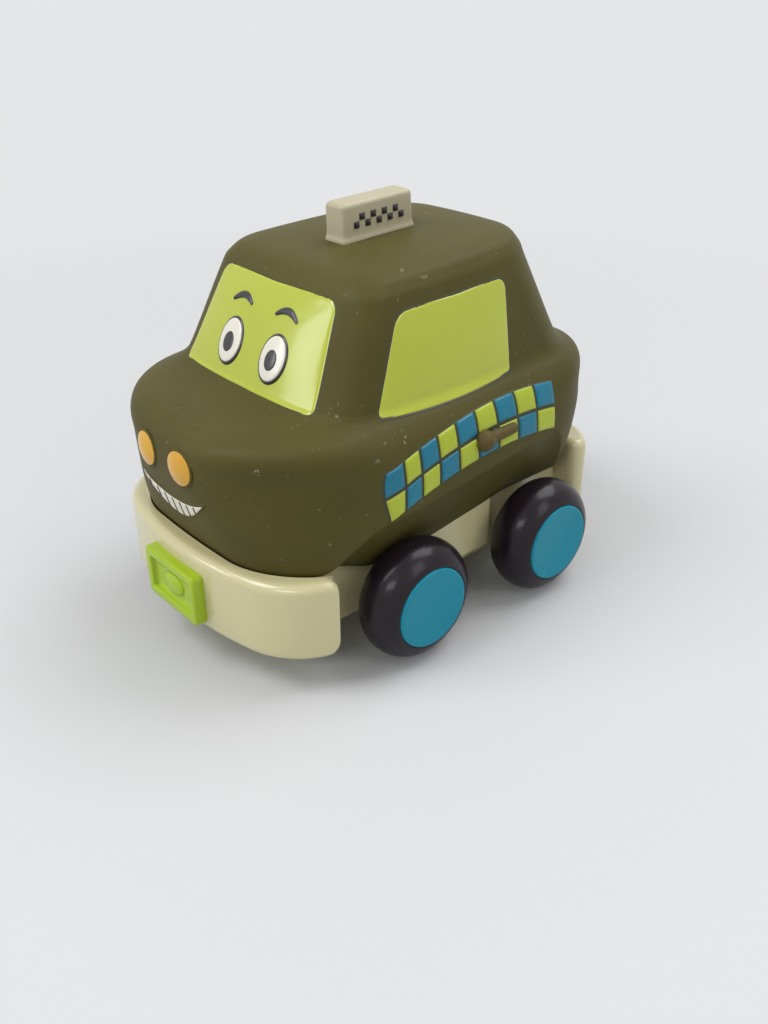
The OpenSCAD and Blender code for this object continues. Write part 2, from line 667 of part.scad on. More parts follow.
module chassis_tray() {
    front_depth = front_well - bumper_front;
    rear_depth = rear_y - rear_well;
    color("#d2cda6")
        difference() {
            union() {
                translate([0, 0, floor_z]) linear_extrude(floor_t) floor_plan();
                translate([0, bumper_front, 0]) bumper(turn_at(front_depth), bumper_top, bumper_flange);
                translate([0, rear_y, 0]) mirror([0, 1, 0]) bumper(turn_at(rear_depth), rear_top, 0);
                ledge(bumper_front, front_depth, 0, ledge_in, bumper_top);
                ledge(rear_y, rear_depth, 1, rear_ledge_in, rear_top);
                rear_well_top(rear_depth);
                both_sides() {
                    translate([0, 0, floor_z]) linear_extrude(sill_low + 1) low_wall();
                    translate([0, 0, floor_z + sill_low]) {
                        linear_extrude(rim_z - floor_z - sill_low) spine_wall();
                        linear_extrude(wall_t) sill_plan();
                    }
                }
                translate([0, bumper_front, floor_z])
                    linear_extrude(rim_z - floor_z) well_wall(front_depth);
                translate([0, rear_y, floor_z])
                    linear_extrude(rim_z - floor_z) mirror([0, 1]) well_wall(rear_depth);
                for (y = [rib_front, rib_rear])
                    translate([-rib_hw, y, floor_z]) cube([2 * rib_hw, wall_t, rim_z - floor_z]);
                posts() translate([0, 0, floor_z]) cylinder(r = post_r, h = deck_z - floor_z);
                for (y = [front_axle_y, rear_axle_y])
                    both_sides() across(y) translate([0, 0, spine_hw - 1])
                        cylinder(r = boss_r, h = boss_x - spine_hw + 1);
            }
            posts() {
                translate([0, 0, floor_z - 1]) cylinder(r = screw_r + screw_gap, h = deck_z);
                translate([0, 0, floor_z - 1])
                    cylinder(r = head_r + screw_gap, h = head_floor - floor_z + 1);
            }
            across(front_axle_y) cylinder(r = axle_r + axle_run, h = 2 * track_w, center = true);
            across(rear_axle_y) cylinder(r = axle_r + 4 * axle_run, h = 2 * track_w, center = true);
            translate([-track_w, rear_axle_y - axle_r - 4 * axle_run, axle_z])
                cube([2 * track_w, axle_d + 8 * axle_run, rim_z]);
            for (x = [-peg_x, peg_x])
                translate([x, bumper_front - 1, plate_z]) rotate([-90, 0, 0])
                    cylinder(r = peg_r + peg_fit, h = bumper_wall + 3);
        }
}

// Number plate: a framed recess with a plain oval dome, curved at the back to the bumper
plate_frame = 2.4;
plate_sunk = 1.3;
plate_back = 1;
module number_plate() {
    color("#a5c83c") {
        difference() {
            translate([-plate_w / 2, front_y, plate_z - plate_h / 2])
                cube([plate_w, plate_proud + plate_back, plate_h]);
            translate([-plate_w / 2 + plate_frame, front_y - 1, plate_z - plate_h / 2 + plate_frame])
                cube([plate_w - 2 * plate_frame, plate_sunk + 1, plate_h - 2 * plate_frame]);
            translate([0, bumper_front + bumper_sweep, 0])
                cylinder(r = bumper_sweep + peg_fit, h = 3 * plate_z, $fn = 180);
        }
        translate([0, front_y + plate_sunk + 0.3, plate_z]) rotate([90, 0, 0])
            rotate_extrude() polygon([[0, -0.5], [3.2, -0.5], [3.2, 0], [2.6, 0.5], [1.4, 0.9], [0, 1]]);
        for (x = [-peg_x, peg_x])
            translate([x, bumper_front - 0.8, plate_z]) rotate([-90, 0, 0])
                cylinder(r = peg_r, h = bumper_wall + 1.6);
    }
}

// Deck: closes the tray, presses on the body's lip and holds the motor down
deck_in = lip_step + 0.8;
deck_boss_h = 5;
motor_gap = 1.2;
module deck_plan() {
    polygon([for (i = [0:ring_n - 1]) let (p = rim(ring_c(i), deck_in)) [p.x, p.y]]);
}
module chassis_deck() {
    color("#8a8678")
        difference() {
            union() {
                translate([0, 0, deck_z]) linear_extrude(deck_t) deck_plan();
                posts() translate([0, 0, deck_z]) cylinder(r = post_r, h = deck_t + deck_boss_h);
            }
            posts() translate([0, 0, deck_z - 1]) cylinder(r = screw_r + peg_fit, h = deck_t + deck_boss_h);
            translate([-case_w / 2 - motor_gap, case_y0 - motor_gap, deck_z - 1])
                cube([case_w + 2 * motor_gap, case_y1 - case_y0 + 2 * motor_gap, deck_t + 2]);
        }
}
module deck_screws() {
    color("#a8a8ac")
        posts() {
            difference() {
                translate([0, 0, head_floor - head_h]) cylinder(r = head_r, h = head_h);
                for (a = [0, 90])
                    rotate([0, 0, a]) translate([-1.5, -0.3, head_floor - head_h - 1]) cube([3, 0.6, 1.8]);
            }
            translate([0, 0, head_floor - 0.1]) cylinder(r = screw_r, h = deck_z + deck_t + 3 - head_floor);
        }
}

// Wheels: a disc and barrel with a blind bore, and a round tyre on the barrel
disc_t = 2;
disc_edge = 0.5;
barrel_wall = 1.7;
flange_t = 1.3;
flange_r = barrel_d / 2 + 1.5;
hub_r = axle_r + 2;
axle_end = disc_hw - 4;
axle_lead = 0.5;
tyre_mid = tyre_d / 2 - tyre_section / 2;
module core_profile() {
    b = barrel_d / 2;
    i = b - barrel_wall;
    web = disc_hw - disc_t - barrel_wall;
    bore = axle_r + axle_press;
    polygon([[0, disc_hw], [disc_d / 2 - disc_edge, disc_hw], [disc_d / 2, disc_hw - disc_edge],
             [disc_d / 2, disc_hw - disc_t], [b, disc_hw - disc_t], [b, core_in + flange_t],
             [flange_r, core_in + flange_t], [flange_r, core_in], [i, core_in], [i, web], [hub_r, web],
             [hub_r, core_in], [bore, core_in], [bore, axle_end + 0.3], [0, axle_end + 0.3]]);
}
module wheel_core(y) {
    translate([0, y, axle_z]) rotate([90, 0, 90]) rotate_extrude() core_profile();
}
module tyre(y) {
    b = barrel_d / 2;
    translate([0, y, axle_z]) rotate([90, 0, 90])
        rotate_extrude()
            difference() {
                translate([tyre_mid, tyre_x]) circle(tyre_section / 2, $fn = 96);
                polygon([[-tyre_d, disc_hw + 1], [disc_d / 2, disc_hw + 1], [disc_d / 2, disc_hw - disc_t],
                         [b, disc_hw - disc_t], [b, core_in + flange_t], [flange_r, core_in + flange_t],
                         [flange_r, core_in - 2], [-tyre_d, core_in - 2]]);
            }
}
module axle(y) {
    across(y) {
        cylinder(r = axle_r, h = 2 * (axle_end - axle_lead), center = true);
        for (side = [0, 1])
            mirror([0, 0, side]) translate([0, 0, axle_end - axle_lead])
                cylinder(r1 = axle_r, r2 = axle_r - axle_lead, h = axle_lead);
    }
}
module wheel_core_fl() {
    color("#3087a0") wheel_core(front_axle_y);
}
module wheel_core_fr() {
    color("#3087a0") mirror([1, 0, 0]) wheel_core(front_axle_y);
}
module wheel_core_rl() {
    color("#3087a0") wheel_core(rear_axle_y);
}
module wheel_core_rr() {
    color("#3087a0") mirror([1, 0, 0]) wheel_core(rear_axle_y);
}
module tyre_fl() {
    color("#28242a") tyre(front_axle_y);
}
module tyre_fr() {
    color("#28242a") mirror([1, 0, 0]) tyre(front_axle_y);
}
module tyre_rl() {
    color("#28242a") tyre(rear_axle_y);
}
module tyre_rr() {
    color("#28242a") mirror([1, 0, 0]) tyre(rear_axle_y);
}
module front_axle() {
    color("#b8b8bc") axle(front_axle_y);
}
module rear_axle() {
    color("#b8b8bc") axle(rear_axle_y);
}

// Motor: the axle's pinion drives an idler, whose pinion drives the gear on the spring's arbor
pressure = 25;
tooth_top = 0.8;
tooth_foot = 1.05;
idler_turn = 125;
drum_turn = 190;
far_1 = gear_m * (pinion_n + idler_n) / 2 + gear_play;
far_2 = gear_m * (pinion_n + drum_n) / 2 + gear_play;
idler_y = rear_axle_y + far_1 * cos(idler_turn);
idler_z = axle_z + far_1 * sin(idler_turn);
drum_y = idler_y + far_2 * cos(drum_turn);
drum_z = idler_z + far_2 * sin(drum_turn);
idler_tip = gear_m * (idler_n / 2 + tooth_top);
drum_tip = gear_m * (drum_n / 2 + tooth_top);
pinion_tip = gear_m * (pinion_n / 2 + tooth_top);
room = 0.6;
case_y0 = drum_y - drum_tip - room - case_wall;
case_y1 = max(rear_axle_y + pinion_tip, idler_y + idler_tip) + room + case_wall;
case_z0 = floor_z + floor_t;
case_z1 = max(idler_z + idler_tip, drum_z + drum_tip) + room + case_wall;
case_hw = case_w / 2;
case_floor = axle_z - pinion_tip - 0.2 - case_z0;
pin_r = 1;
pin_run = 0.05;
arbor_r = 2.2;

function inv(a) = tan(a) * 180 / PI - a;
// Outline of a gear with involute teeth, one tooth centred on the x axis
function gear_points(n) =
    let (rp = gear_m * n / 2, rb = rp * cos(pressure), rt = rp + gear_m * tooth_top,
         rf = rp - gear_m * tooth_foot, half = 90 / n + inv(pressure), steps = 5,
         flank = [for (k = [0:steps])
             let (r = lerp(rb, rt, k / steps)) [r, half - inv(acos(min(rb / r, 1)))]])
    [for (i = [0:n - 1])
        let (a = 360 * i / n)
        each concat(
            [rf * [cos(a - half), sin(a - half)]],
            [for (k = [0:steps]) flank[k][0] * [cos(a - flank[k][1]), sin(a - flank[k][1])]],
            [for (k = [steps:-1:0]) flank[k][0] * [cos(a + flank[k][1]), sin(a + flank[k][1])]],
            [rf * [cos(a + half), sin(a + half)]])];
module gear(n, turn, x0, x1) {
    translate([x0, 0, 0]) rotate([90, 0, 90]) linear_extrude(x1 - x0) rotate(turn) polygon(gear_points(n));
}
module rod(r, x0, x1) {
    translate([x0, 0, 0]) rotate([0, 90, 0]) cylinder(r = r, h = x1 - x0);
}
mesh_x0 = 2.6 - case_hw;
mesh_x1 = mesh_x0 + 4;
drum_x0 = mesh_x1 + 0.8;
drum_x1 = drum_x0 + 3.6;
strip_x0 = drum_x1 + 1;
strip_x1 = case_hw - case_wall - 0.4;
module axle_gear() {
    color("#e8e4d8")
        translate([0, rear_axle_y, axle_z])
            difference() {
                gear(pinion_n, idler_turn, mesh_x0 - 0.4, mesh_x1 + 0.4);
                rod(axle_r + axle_press, -case_hw, case_hw);
            }
}
module idler_gear() {
    color("#d8b23a")
        translate([0, idler_y, idler_z]) {
            gear(idler_n, idler_turn + 180 + 180 / idler_n, mesh_x0, mesh_x1);
            gear(pinion_n, drum_turn, mesh_x1 - 0.1, drum_x1 + 0.4);
            rod(pin_r, 0.2 - case_hw, case_hw - 0.2);
        }
}
module spring_gear() {
    color("#d8b23a")
        translate([0, drum_y, drum_z]) {
            gear(drum_n, drum_turn + 180 + 180 / drum_n, drum_x0, drum_x1);
            rod(arbor_r, drum_x1 - 0.1, strip_x1);
            rod(pin_r, 0.2 - case_hw, case_hw - 0.2);
        }
}
strip_in = arbor_r + 0.5;
strip_out = drum_tip - 0.1;
strip_step = 18;
tab_l = room + 0.8;
tab_t = 0.6;
tab_room = 0.1;
// The strip winds out from the arbor and ends at the front, where its tab enters a slot in the case
module mainspring() {
    turns = strip_coils * 360 / strip_step;
    line = [for (i = [0:turns]) [lerp(strip_in, strip_out - strip_t, i / turns), strip_step * i + 180]];
    inside = [for (p = line) p[0] * [cos(p[1]), sin(p[1])]];
    outside = [for (i = [turns:-1:0]) (line[i][0] + strip_t) * [cos(line[i][1]), sin(line[i][1])]];
    tab = [[strip_t - strip_out, -tab_t], [-strip_out - tab_l, -tab_t], [-strip_out - tab_l, 0]];
    color("#6c6c72")
        translate([strip_x0, drum_y, drum_z]) rotate([90, 0, 90])
            linear_extrude(strip_x1 - strip_x0) polygon(concat(inside, tab, outside));
}
module tab_slot() {
    translate([strip_x0 - tab_room, drum_y - strip_out - tab_l - tab_room, drum_z - tab_t - tab_room])
        cube([strip_x1 - strip_x0 + 2 * tab_room, tab_l, tab_t + 2 * tab_room]);
}
case_cut = 4;
module case_plan(in, low) {
    y0 = case_y0 + in;
    y1 = case_y1 - in;
    z0 = case_z0 + low;
    z1 = case_z1 - in;
    k = case_cut - in * 0.4;
    polygon([[y0 + k / 2, z0], [y1, z0], [y1, z1 - 2 * k], [y1 - 2 * k, z1], [y0 + k, z1],
             [y0, z1 - k], [y0, z0 + k / 2]]);
}
ear_l = 4;
ear_h = 2;
ear_in = 4;
joins = [[idler_y - 1.6, case_z0 + case_floor + 1.7], [case_y0 + 3.7, case_z1 - 2.7],
         [case_y1 - 2.4, axle_z + 6]];
join_r = 1.4;
join_screw = 0.7;
join_fit = 0.05;
join_head = 1.3;
module case_half(hole) {
    difference() {
        union() {
            difference() {
                union() {
                    rotate([90, 0, 90]) linear_extrude(case_hw) case_plan(0, 0);
                    translate([0, case_y0 - ear_l, deck_z - ear_h])
                        cube([case_hw - ear_in, case_y1 - case_y0 + 2 * ear_l, ear_h]);
                }
                translate([-1, 0, 0]) rotate([90, 0, 90])
                    linear_extrude(case_hw - case_wall + 1) case_plan(case_wall, case_floor);
            }
            for (p = joins)
                translate([0, p[0], p[1]]) rod(join_r, 0, case_hw - 0.2);
        }
        for (p = [[rear_axle_y, axle_z, axle_r + axle_run], [idler_y, idler_z, pin_r + pin_run],
                  [drum_y, drum_z, pin_r + pin_run]])
            translate([0, p[0], p[1]]) rod(p[2], -1, case_hw + 1);
        for (p = joins)
            translate([0, p[0], p[1]]) rod(join_screw + join_fit, -1, hole);
    }
}
module motor_case_left() {
    color("#4a4a50")
        difference() {
            case_half(case_hw - 2);
            tab_slot();
        }
}
module motor_case_right() {
    color("#4a4a50") mirror([1, 0, 0]) case_half(case_hw + 1);
}
module motor_screws() {
    color("#a8a8ac")
        for (p = joins)
            translate([0, p[0], p[1]]) {
                rod(join_screw, -case_hw, case_hw - 2.6);
                rod(join_head, -case_hw - 0.8, -case_hw);
            }
}

body_shell();
windscreen();
rear_window();
side_window_left();
side_window_right();
checks_blue();
checks_lime();
headlight_left();
headlight_right();
roof_sign();
chassis_tray();
number_plate();
chassis_deck();
deck_screws();
front_axle();
wheel_core_fl();
wheel_core_fr();
tyre_fl();
tyre_fr();
rear_axle();
axle_gear();
wheel_core_rl();
wheel_core_rr();
tyre_rl();
tyre_rr();
motor_case_left();
motor_case_right();
idler_gear();
spring_gear();
mainspring();
motor_screws();
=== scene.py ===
# Looks of the toy taxi: the skin of the part's source again, as fine meshes with moulded plastics.
import math

import bpy
import numpy as np
from mathutils import Matrix, Vector


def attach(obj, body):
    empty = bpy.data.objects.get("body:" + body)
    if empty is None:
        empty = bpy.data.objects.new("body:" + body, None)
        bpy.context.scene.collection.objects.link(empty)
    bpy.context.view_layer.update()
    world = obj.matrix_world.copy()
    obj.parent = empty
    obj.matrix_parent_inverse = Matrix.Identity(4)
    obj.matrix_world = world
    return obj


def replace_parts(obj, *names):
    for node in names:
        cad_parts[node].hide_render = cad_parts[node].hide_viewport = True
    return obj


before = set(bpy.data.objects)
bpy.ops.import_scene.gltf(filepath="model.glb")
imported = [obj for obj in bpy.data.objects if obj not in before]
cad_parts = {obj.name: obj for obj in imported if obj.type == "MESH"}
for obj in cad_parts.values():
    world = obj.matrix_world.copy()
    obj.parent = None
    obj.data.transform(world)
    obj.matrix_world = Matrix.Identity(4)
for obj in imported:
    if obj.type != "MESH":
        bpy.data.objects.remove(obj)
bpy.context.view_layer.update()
MM = 0.001

# Sizes of the body in the part's source, in millimetres
FRONT_Y, REAR_Y = -61.0, 61.0
FRONT_AXLE_Y, REAR_AXLE_Y, AXLE_Z = -17.0, 28.4, 15.5
RIM_Z, BELT_Z, ROOF_Z = 27.5, 62.0, 92.3
BODY_HW, FOOT_HW, TOP_HW, RIM_HW = 38.8, 32.0, 28.4, 31.5
BONNET_L, BOOT_L = 21.2, 9.0
SCREEN_RAKE, BACK_RAKE = 10.9, 10.0
END_BOW, SIDE_BOW, ROOF_TILT, BODY_TAPER = 2.9, 0.06, 0.04, 0.04
PLATE_PROUD, BODY_SHIFT = 2.5, 0.4
NOSE_Y = FRONT_Y + PLATE_PROUD + END_BOW - BODY_SHIFT
TAIL_Y = REAR_Y - END_BOW - BODY_SHIFT
FOOT_FRONT, FOOT_REAR = NOSE_Y + BONNET_L, TAIL_Y - BOOT_L
LOW_H, CAB_H = BELT_Z - RIM_Z, ROOF_Z - BELT_Z

# Levels from the rim to the roof: height, half width, front, rear, front and rear corner radius
LEVELS = np.array([
    [RIM_Z, BODY_HW - 2.6, NOSE_Y + 6.3, TAIL_Y - 7.2, 21, 20],
    [RIM_Z + 0.1 * LOW_H, BODY_HW - 1.6, NOSE_Y + 4.7, TAIL_Y - 5.8, 23, 22],
    [RIM_Z + 0.3 * LOW_H, BODY_HW - 0.2, NOSE_Y + 2.7, TAIL_Y - 3, 28, 23],
    [RIM_Z + 0.54 * LOW_H, BODY_HW, NOSE_Y + 0.6, TAIL_Y - 0.6, 33, 24],
    [RIM_Z + 0.71 * LOW_H, BODY_HW - 0.6, NOSE_Y, TAIL_Y, 33, 24],
    [RIM_Z + 0.855 * LOW_H, BODY_HW - 1.9, NOSE_Y + 0.9, TAIL_Y - 0.3, 28, 21],
    [RIM_Z + 0.942 * LOW_H, BODY_HW - 3.9, NOSE_Y + 5.2, TAIL_Y - 2.2, 21, 18],
    [BELT_Z - 0.2, BODY_HW - 5.8, FOOT_FRONT - 6.2, FOOT_REAR + 2.6, 14, 15],
    [BELT_Z + 1.5, FOOT_HW, FOOT_FRONT, FOOT_REAR, 9, 13],
    [BELT_Z + 5, FOOT_HW - 0.6, FOOT_FRONT + 0.27 * SCREEN_RAKE, FOOT_REAR - 0.24 * BACK_RAKE, 8, 13],
    [BELT_Z + 0.726 * CAB_H, TOP_HW, FOOT_FRONT + SCREEN_RAKE, FOOT_REAR - BACK_RAKE, 7, 14],
    [BELT_Z + 0.875 * CAB_H, TOP_HW - 1.4,
     FOOT_FRONT + 1.24 * SCREEN_RAKE, FOOT_REAR - 1.22 * BACK_RAKE, 6.5, 13],
    [ROOF_Z - 1, TOP_HW - 4.8, FOOT_FRONT + 1.65 * SCREEN_RAKE, FOOT_REAR - 1.56 * BACK_RAKE, 6, 11],
    [ROOF_Z, TOP_HW - 14.4, FOOT_FRONT + 2.6 * SCREEN_RAKE, FOOT_REAR - 2.5 * BACK_RAKE, 5, 8],
])
LAST = len(LEVELS) - 1
SHOULDER = 5 / LAST

# Cells of half a ring round the body: front, each corner, side, rear
CELLS_F, CELLS_C, CELLS_S, CELLS_R = 4.0, 7.0, 12.0, 4.0
CELLS = CELLS_F + 2 * CELLS_C + CELLS_S + CELLS_R

# Steps of cells and shares over which the skin's normal is taken
STEP_C, STEP_V = 0.2, 0.01


# The body's skin
def lerp(a, b, t):
    return a + (b - a) * t


def smooth(t):
    k = np.clip(t, 0, 1)
    return k * k * (3 - 2 * k)


def unit(a):
    return a / np.maximum(np.linalg.norm(a, axis=-1, keepdims=True), 1e-12)


def level(v):
    """Level at share v of the way up: a smooth curve through the table."""
    s = np.clip(np.asarray(v, float), 0, 1) * LAST
    i = np.minimum(np.floor(s).astype(int), LAST - 1)
    t = (s - i)[..., None]
    p0, p1 = LEVELS[np.maximum(i - 1, 0)], LEVELS[i]
    p2, p3 = LEVELS[i + 1], LEVELS[np.minimum(i + 2, LAST)]
    m1, m2 = (p2 - p0) / 2, (p3 - p1) / 2
    return ((2 * t**3 - 3 * t**2 + 1) * p1 + (t**3 - 2 * t**2 + t) * m1
            + (3 * t**2 - 2 * t**3) * p2 + (t**3 - t**2) * m2)


SHARES = np.linspace(0, 1, 6001)
HEIGHTS = level(SHARES)[:, 0]


def share_at(z):
    return np.interp(z, HEIGHTS, SHARES)


def plan(c, half, front, rear, front_r, rear_r):
    """Point of a rounded rectangle, c cells round from its front middle."""
    ends = np.cumsum([CELLS_F, CELLS_C, CELLS_S, CELLS_C])
    front_turn = np.radians(90 * (c - ends[0]) / CELLS_C - 90)
    rear_turn = np.radians(90 * (c - ends[2]) / CELLS_C)
    where = [c < end for end in ends]
    x = np.select(where, [
        (half - front_r) * c / CELLS_F,
        half - front_r + front_r * np.cos(front_turn),
        half + 0 * c,
        half - rear_r + rear_r * np.cos(rear_turn),
    ], (half - rear_r) * (1 - (c - ends[3]) / CELLS_R))
    y = np.select(where, [
        front + 0 * c,
        front + front_r + front_r * np.sin(front_turn),
        lerp(front + front_r, rear - rear_r, (c - ends[1]) / CELLS_S),
        rear - rear_r + rear_r * np.sin(rear_turn),
    ], rear + 0 * c)
    return x, y


def skin(c, v):
    """Point of the body's skin: c cells round from the nose (negative on the right), share v up."""
    c, v = np.broadcast_arrays(np.asarray(c, float), np.asarray(v, float))
    z, half, front, rear, front_r, rear_r = np.moveaxis(level(v), -1, 0)
    flat_x, flat_y = plan(np.abs(c), half, front, rear, front_r, rear_r)
    middle, reach = (front + rear) / 2, (rear - front) / 2
    t, s = (flat_y - middle) / reach, flat_x / half
    y = flat_y + np.sign(t) * END_BOW * (1 - s * s) * t * t * half / BODY_HW
    x = flat_x * (1 + SIDE_BOW * (1 - t * t)) * (1 - BODY_TAPER * y / reach)
    up = np.clip((z - BELT_Z) / CAB_H, 0, 1)
    return np.stack([np.where(c < 0, -1, 1) * x, y, z + ROOF_TILT * y * up], -1)


def skin_normal(c, v):
    c, v = np.broadcast_arrays(np.asarray(c, float), np.asarray(v, float))
    round_body = skin(c + STEP_C, v) - skin(c - STEP_C, v)
    upwards = skin(c, np.minimum(v + STEP_V, 1)) - skin(c, np.maximum(v - STEP_V, 0))
    return unit(np.cross(round_body, upwards))


def on_skin(c, v, lift):
    return skin(c, v) + np.asarray(lift)[..., None] * skin_normal(c, v)


def cells_end(half, corner, x, flat_cells):
    """Cells from the middle of the front or the rear to a distance x from it."""
    flat, far = half - corner, np.abs(x)
    turn = np.degrees(np.arccos(np.clip((far - flat) / corner, -1, 1)))
    return np.where(far <= flat, flat_cells * far / flat, flat_cells + CELLS_C * (1 - turn / 90))


def cells_front(q, x):
    return np.sign(x) * cells_end(q[..., 1], q[..., 4], x, CELLS_F)


def cells_rear(q, x):
    return cells_end(q[..., 1], q[..., 5], x, CELLS_R)


def cells_side(q, y):
    front, rear = q[..., 2] + q[..., 4], q[..., 3] - q[..., 5]
    return CELLS_F + CELLS_C + CELLS_S * (y - front) / (rear - front)


# The long wheel arch: its edge is low behind the bumpers and rises along the side
ARCH_FRONT_Z, ARCH_REAR_Z, ARCH_LOW_Z = 39.5, 44.8, RIM_Z + 1.6
ARCH_FRONT_Y, ARCH_REAR_Y, ARCH_RAMP = FRONT_AXLE_Y - 24.5, REAR_AXLE_Y + 17.5, 15.0
ARCH_LINE_Y, ARCH_LINE_L = FRONT_AXLE_Y - 10, REAR_AXLE_Y - FRONT_AXLE_Y + 12


def arch_edge(y):
    line = lerp(ARCH_FRONT_Z, ARCH_REAR_Z, (y - ARCH_LINE_Y) / ARCH_LINE_L)
    ramps = smooth((y - ARCH_FRONT_Y) / ARCH_RAMP) * smooth((ARCH_REAR_Y - y) / ARCH_RAMP)
    return ARCH_LOW_Z + (line - ARCH_LOW_Z) * ramps


# Shader maths as Python expressions
def feed(socket, value):
    """Links a socket to an expression or gives it a plain value."""
    if isinstance(value, Socket):
        value.tree.links.new(value.socket, socket)
    else:
        socket.default_value = value


class Socket:
    """An output socket in an expression: each operator adds a Math node."""

    def __init__(self, tree, socket):
        self.tree = tree
        self.socket = socket

    def math(self, operation, *values, clamp=False):
        node = self.tree.nodes.new("ShaderNodeMath")
        node.operation = operation
        node.use_clamp = clamp
        for index, value in enumerate(values):
            feed(node.inputs[index], value)
        return Socket(self.tree, node.outputs[0])

    def __add__(self, other):
        return self.math("ADD", self, other)

    def __radd__(self, other):
        return self.math("ADD", other, self)

    def __sub__(self, other):
        return self.math("SUBTRACT", self, other)

    def __rsub__(self, other):
        return self.math("SUBTRACT", other, self)

    def __mul__(self, other):
        return self.math("MULTIPLY", self, other)

    def __rmul__(self, other):
        return self.math("MULTIPLY", other, self)

    def __truediv__(self, other):
        return self.math("DIVIDE", self, other)

    def __rtruediv__(self, other):
        return self.math("DIVIDE", other, self)

    def larger(self, other):
        return self.math("MAXIMUM", self, other)

    def clamp(self):
        return self.math("ADD", self, 0.0, clamp=True)

    def ramp(self, low, high):
        """0 up to low, 1 from high on and straight between."""
        return ((self - low) / (high - low)).clamp()


class Nodes:
    """A node tree: node() makes any node, its settings first, then its sockets' values or links."""

    def __init__(self, tree):
        self.tree = tree

    def node(self, kind, settings, sockets, out=0):
        node = self.tree.nodes.new(kind)
        for name, value in settings.items():
            setattr(node, name, value)
        for name, value in sockets.items():
            feed(node.inputs[name], value)
        return Socket(self.tree, node.outputs[out])

    def position(self):
        return self.node("ShaderNodeTexCoord", {}, {}, "Object")

    def noise(self, scale, detail=2.0, rough=0.5, vector=None):
        where = vector or self.position()
        sockets = {"Vector": where, "Scale": scale, "Detail": detail, "Roughness": rough}
        return self.node("ShaderNodeTexNoise", {}, sockets, "Fac")

    def mix(self, factor, first, second):
        return self.node("ShaderNodeMix", {"data_type": "RGBA"}, {0: factor, 6: first, 7: second}, 2)

    def bump(self, height, strength, distance):
        sockets = {"Strength": strength, "Distance": distance, "Height": height}
        return self.node("ShaderNodeBump", {}, sockets)

    def seen(self):
        """1 for camera, mirrored and refracted rays, 0 for rays that light things."""
        seen = self.node("ShaderNodeLightPath", {}, {}, "Is Camera Ray")
        for ray in ("Is Glossy Ray", "Is Transmission Ray"):
            seen = seen.larger(self.node("ShaderNodeLightPath", {}, {}, ray))
        return seen

    def mix_shaders(self, factor, first, second):
        return self.node("ShaderNodeMixShader", {}, {0: factor, 1: first, 2: second})


class Finish(Nodes):
    """A material with one Principled shader."""

    def __init__(self, name):
        self.material = bpy.data.materials.new(name)
        self.material.use_nodes = True
        super().__init__(self.material.node_tree)
        self.shader = self.tree.nodes["Principled BSDF"]

    def set(self, **sockets):
        for name, value in sockets.items():
            feed(self.shader.inputs[name.replace("_", " ")], value)


def srgb(r, g, b):
    def linear(u):
        u /= 255
        return u / 12.92 if u <= 0.04045 else ((u + 0.055) / 1.055) ** 2.4
    return (linear(r), linear(g), linear(b), 1.0)


# Noise scales per metre, bump depths in metres
DRIFT, FINE, WAVE, GRAIN = 60.0, 500.0, 150.0, 2500.0
CLOUD, TEXTURE, SPECK, DUST, LEATHER = 38.0, 2600.0, 900.0, 420.0, 620.0
BRUSH, BRUSH_STRETCH = 400.0, (40.0, 1.0, 1.0)
MOULD_DEPTH, VINYL_DEPTH = 0.00006, 0.00012

# Rubbed places of the body: x, y, z and radius in millimetres
SCUFFS = ((31, -33, 66, 3.0), (30.5, -32, 71, 2.2), (36.5, -27, 53, 2.6), (35, -30, 57, 2.4),
          (26, -50, 56.5, 2.0), (37.5, -20, 58, 2.2), (33.5, -38, 56.5, 1.8))
SCUFF_TONE = srgb(190, 186, 168)


def moulded(name, colour, shade, rough, coat=0.0, grain=0.0, tone=0.35, shine=0.5):
    """Moulded or painted plastic: slow drift of colour, uneven gloss, fine surface grain."""
    m = Finish(name)
    drift = m.noise(DRIFT, 3.0)
    fine = m.noise(FINE)
    m.set(Base_Color=m.mix(drift.ramp(0.35, 0.75) * tone, srgb(*colour), srgb(*shade)),
          Roughness=(fine * 0.10 + drift * 0.06 + (rough - 0.08)).clamp(),
          IOR=1.48, Specular_IOR_Level=shine, Coat_Weight=coat, Coat_Roughness=0.1)
    wave = m.noise(WAVE)
    if grain:
        wave = wave + m.noise(GRAIN) * grain
    m.set(Normal=m.bump(wave, 0.2, MOULD_DEPTH))
    return m.material


def spot(m, centre, radius):
    """1 at a point of the object, falling to 0 at a radius, both in millimetres."""
    ends = {0: m.position(), 1: tuple(MM * k for k in centre)}
    far = m.node("ShaderNodeVectorMath", {"operation": "DISTANCE"}, ends, "Value")
    return 1.0 - (far / (radius * MM)).clamp()


def vinyl(name, low, high):
    """Soft matte vinyl with cloudy tone, fine grain and a few rubbed, whitish scuffs."""
    m = Finish(name)
    cloud = m.noise(CLOUD, 4.0, 0.55)
    fine = m.noise(TEXTURE, 3.0, 0.6)
    speck = m.noise(SPECK, 3.0, 0.6)
    worn = 0.0
    for x, y, z, radius in SCUFFS:
        worn = spot(m, (x, y, z), radius).larger(worn)
    dust = m.noise(DUST, 2.0, 0.6).ramp(0.70, 0.76) * 0.18
    scuff = (worn * 1.6 * speck.ramp(0.56, 0.66)).clamp().larger(dust)
    base = m.mix(cloud.ramp(0.3, 0.72), srgb(*low), srgb(*high))
    m.set(Base_Color=m.mix(scuff, base, SCUFF_TONE),
          Roughness=(cloud * 0.10 + fine * 0.08 + scuff * 0.12 + 0.42).clamp(),
          IOR=1.46, Specular_IOR_Level=0.16,
          Normal=m.bump(fine * 0.5 + m.noise(LEATHER) * 0.5, 0.22, VINYL_DEPTH))
    return m.material


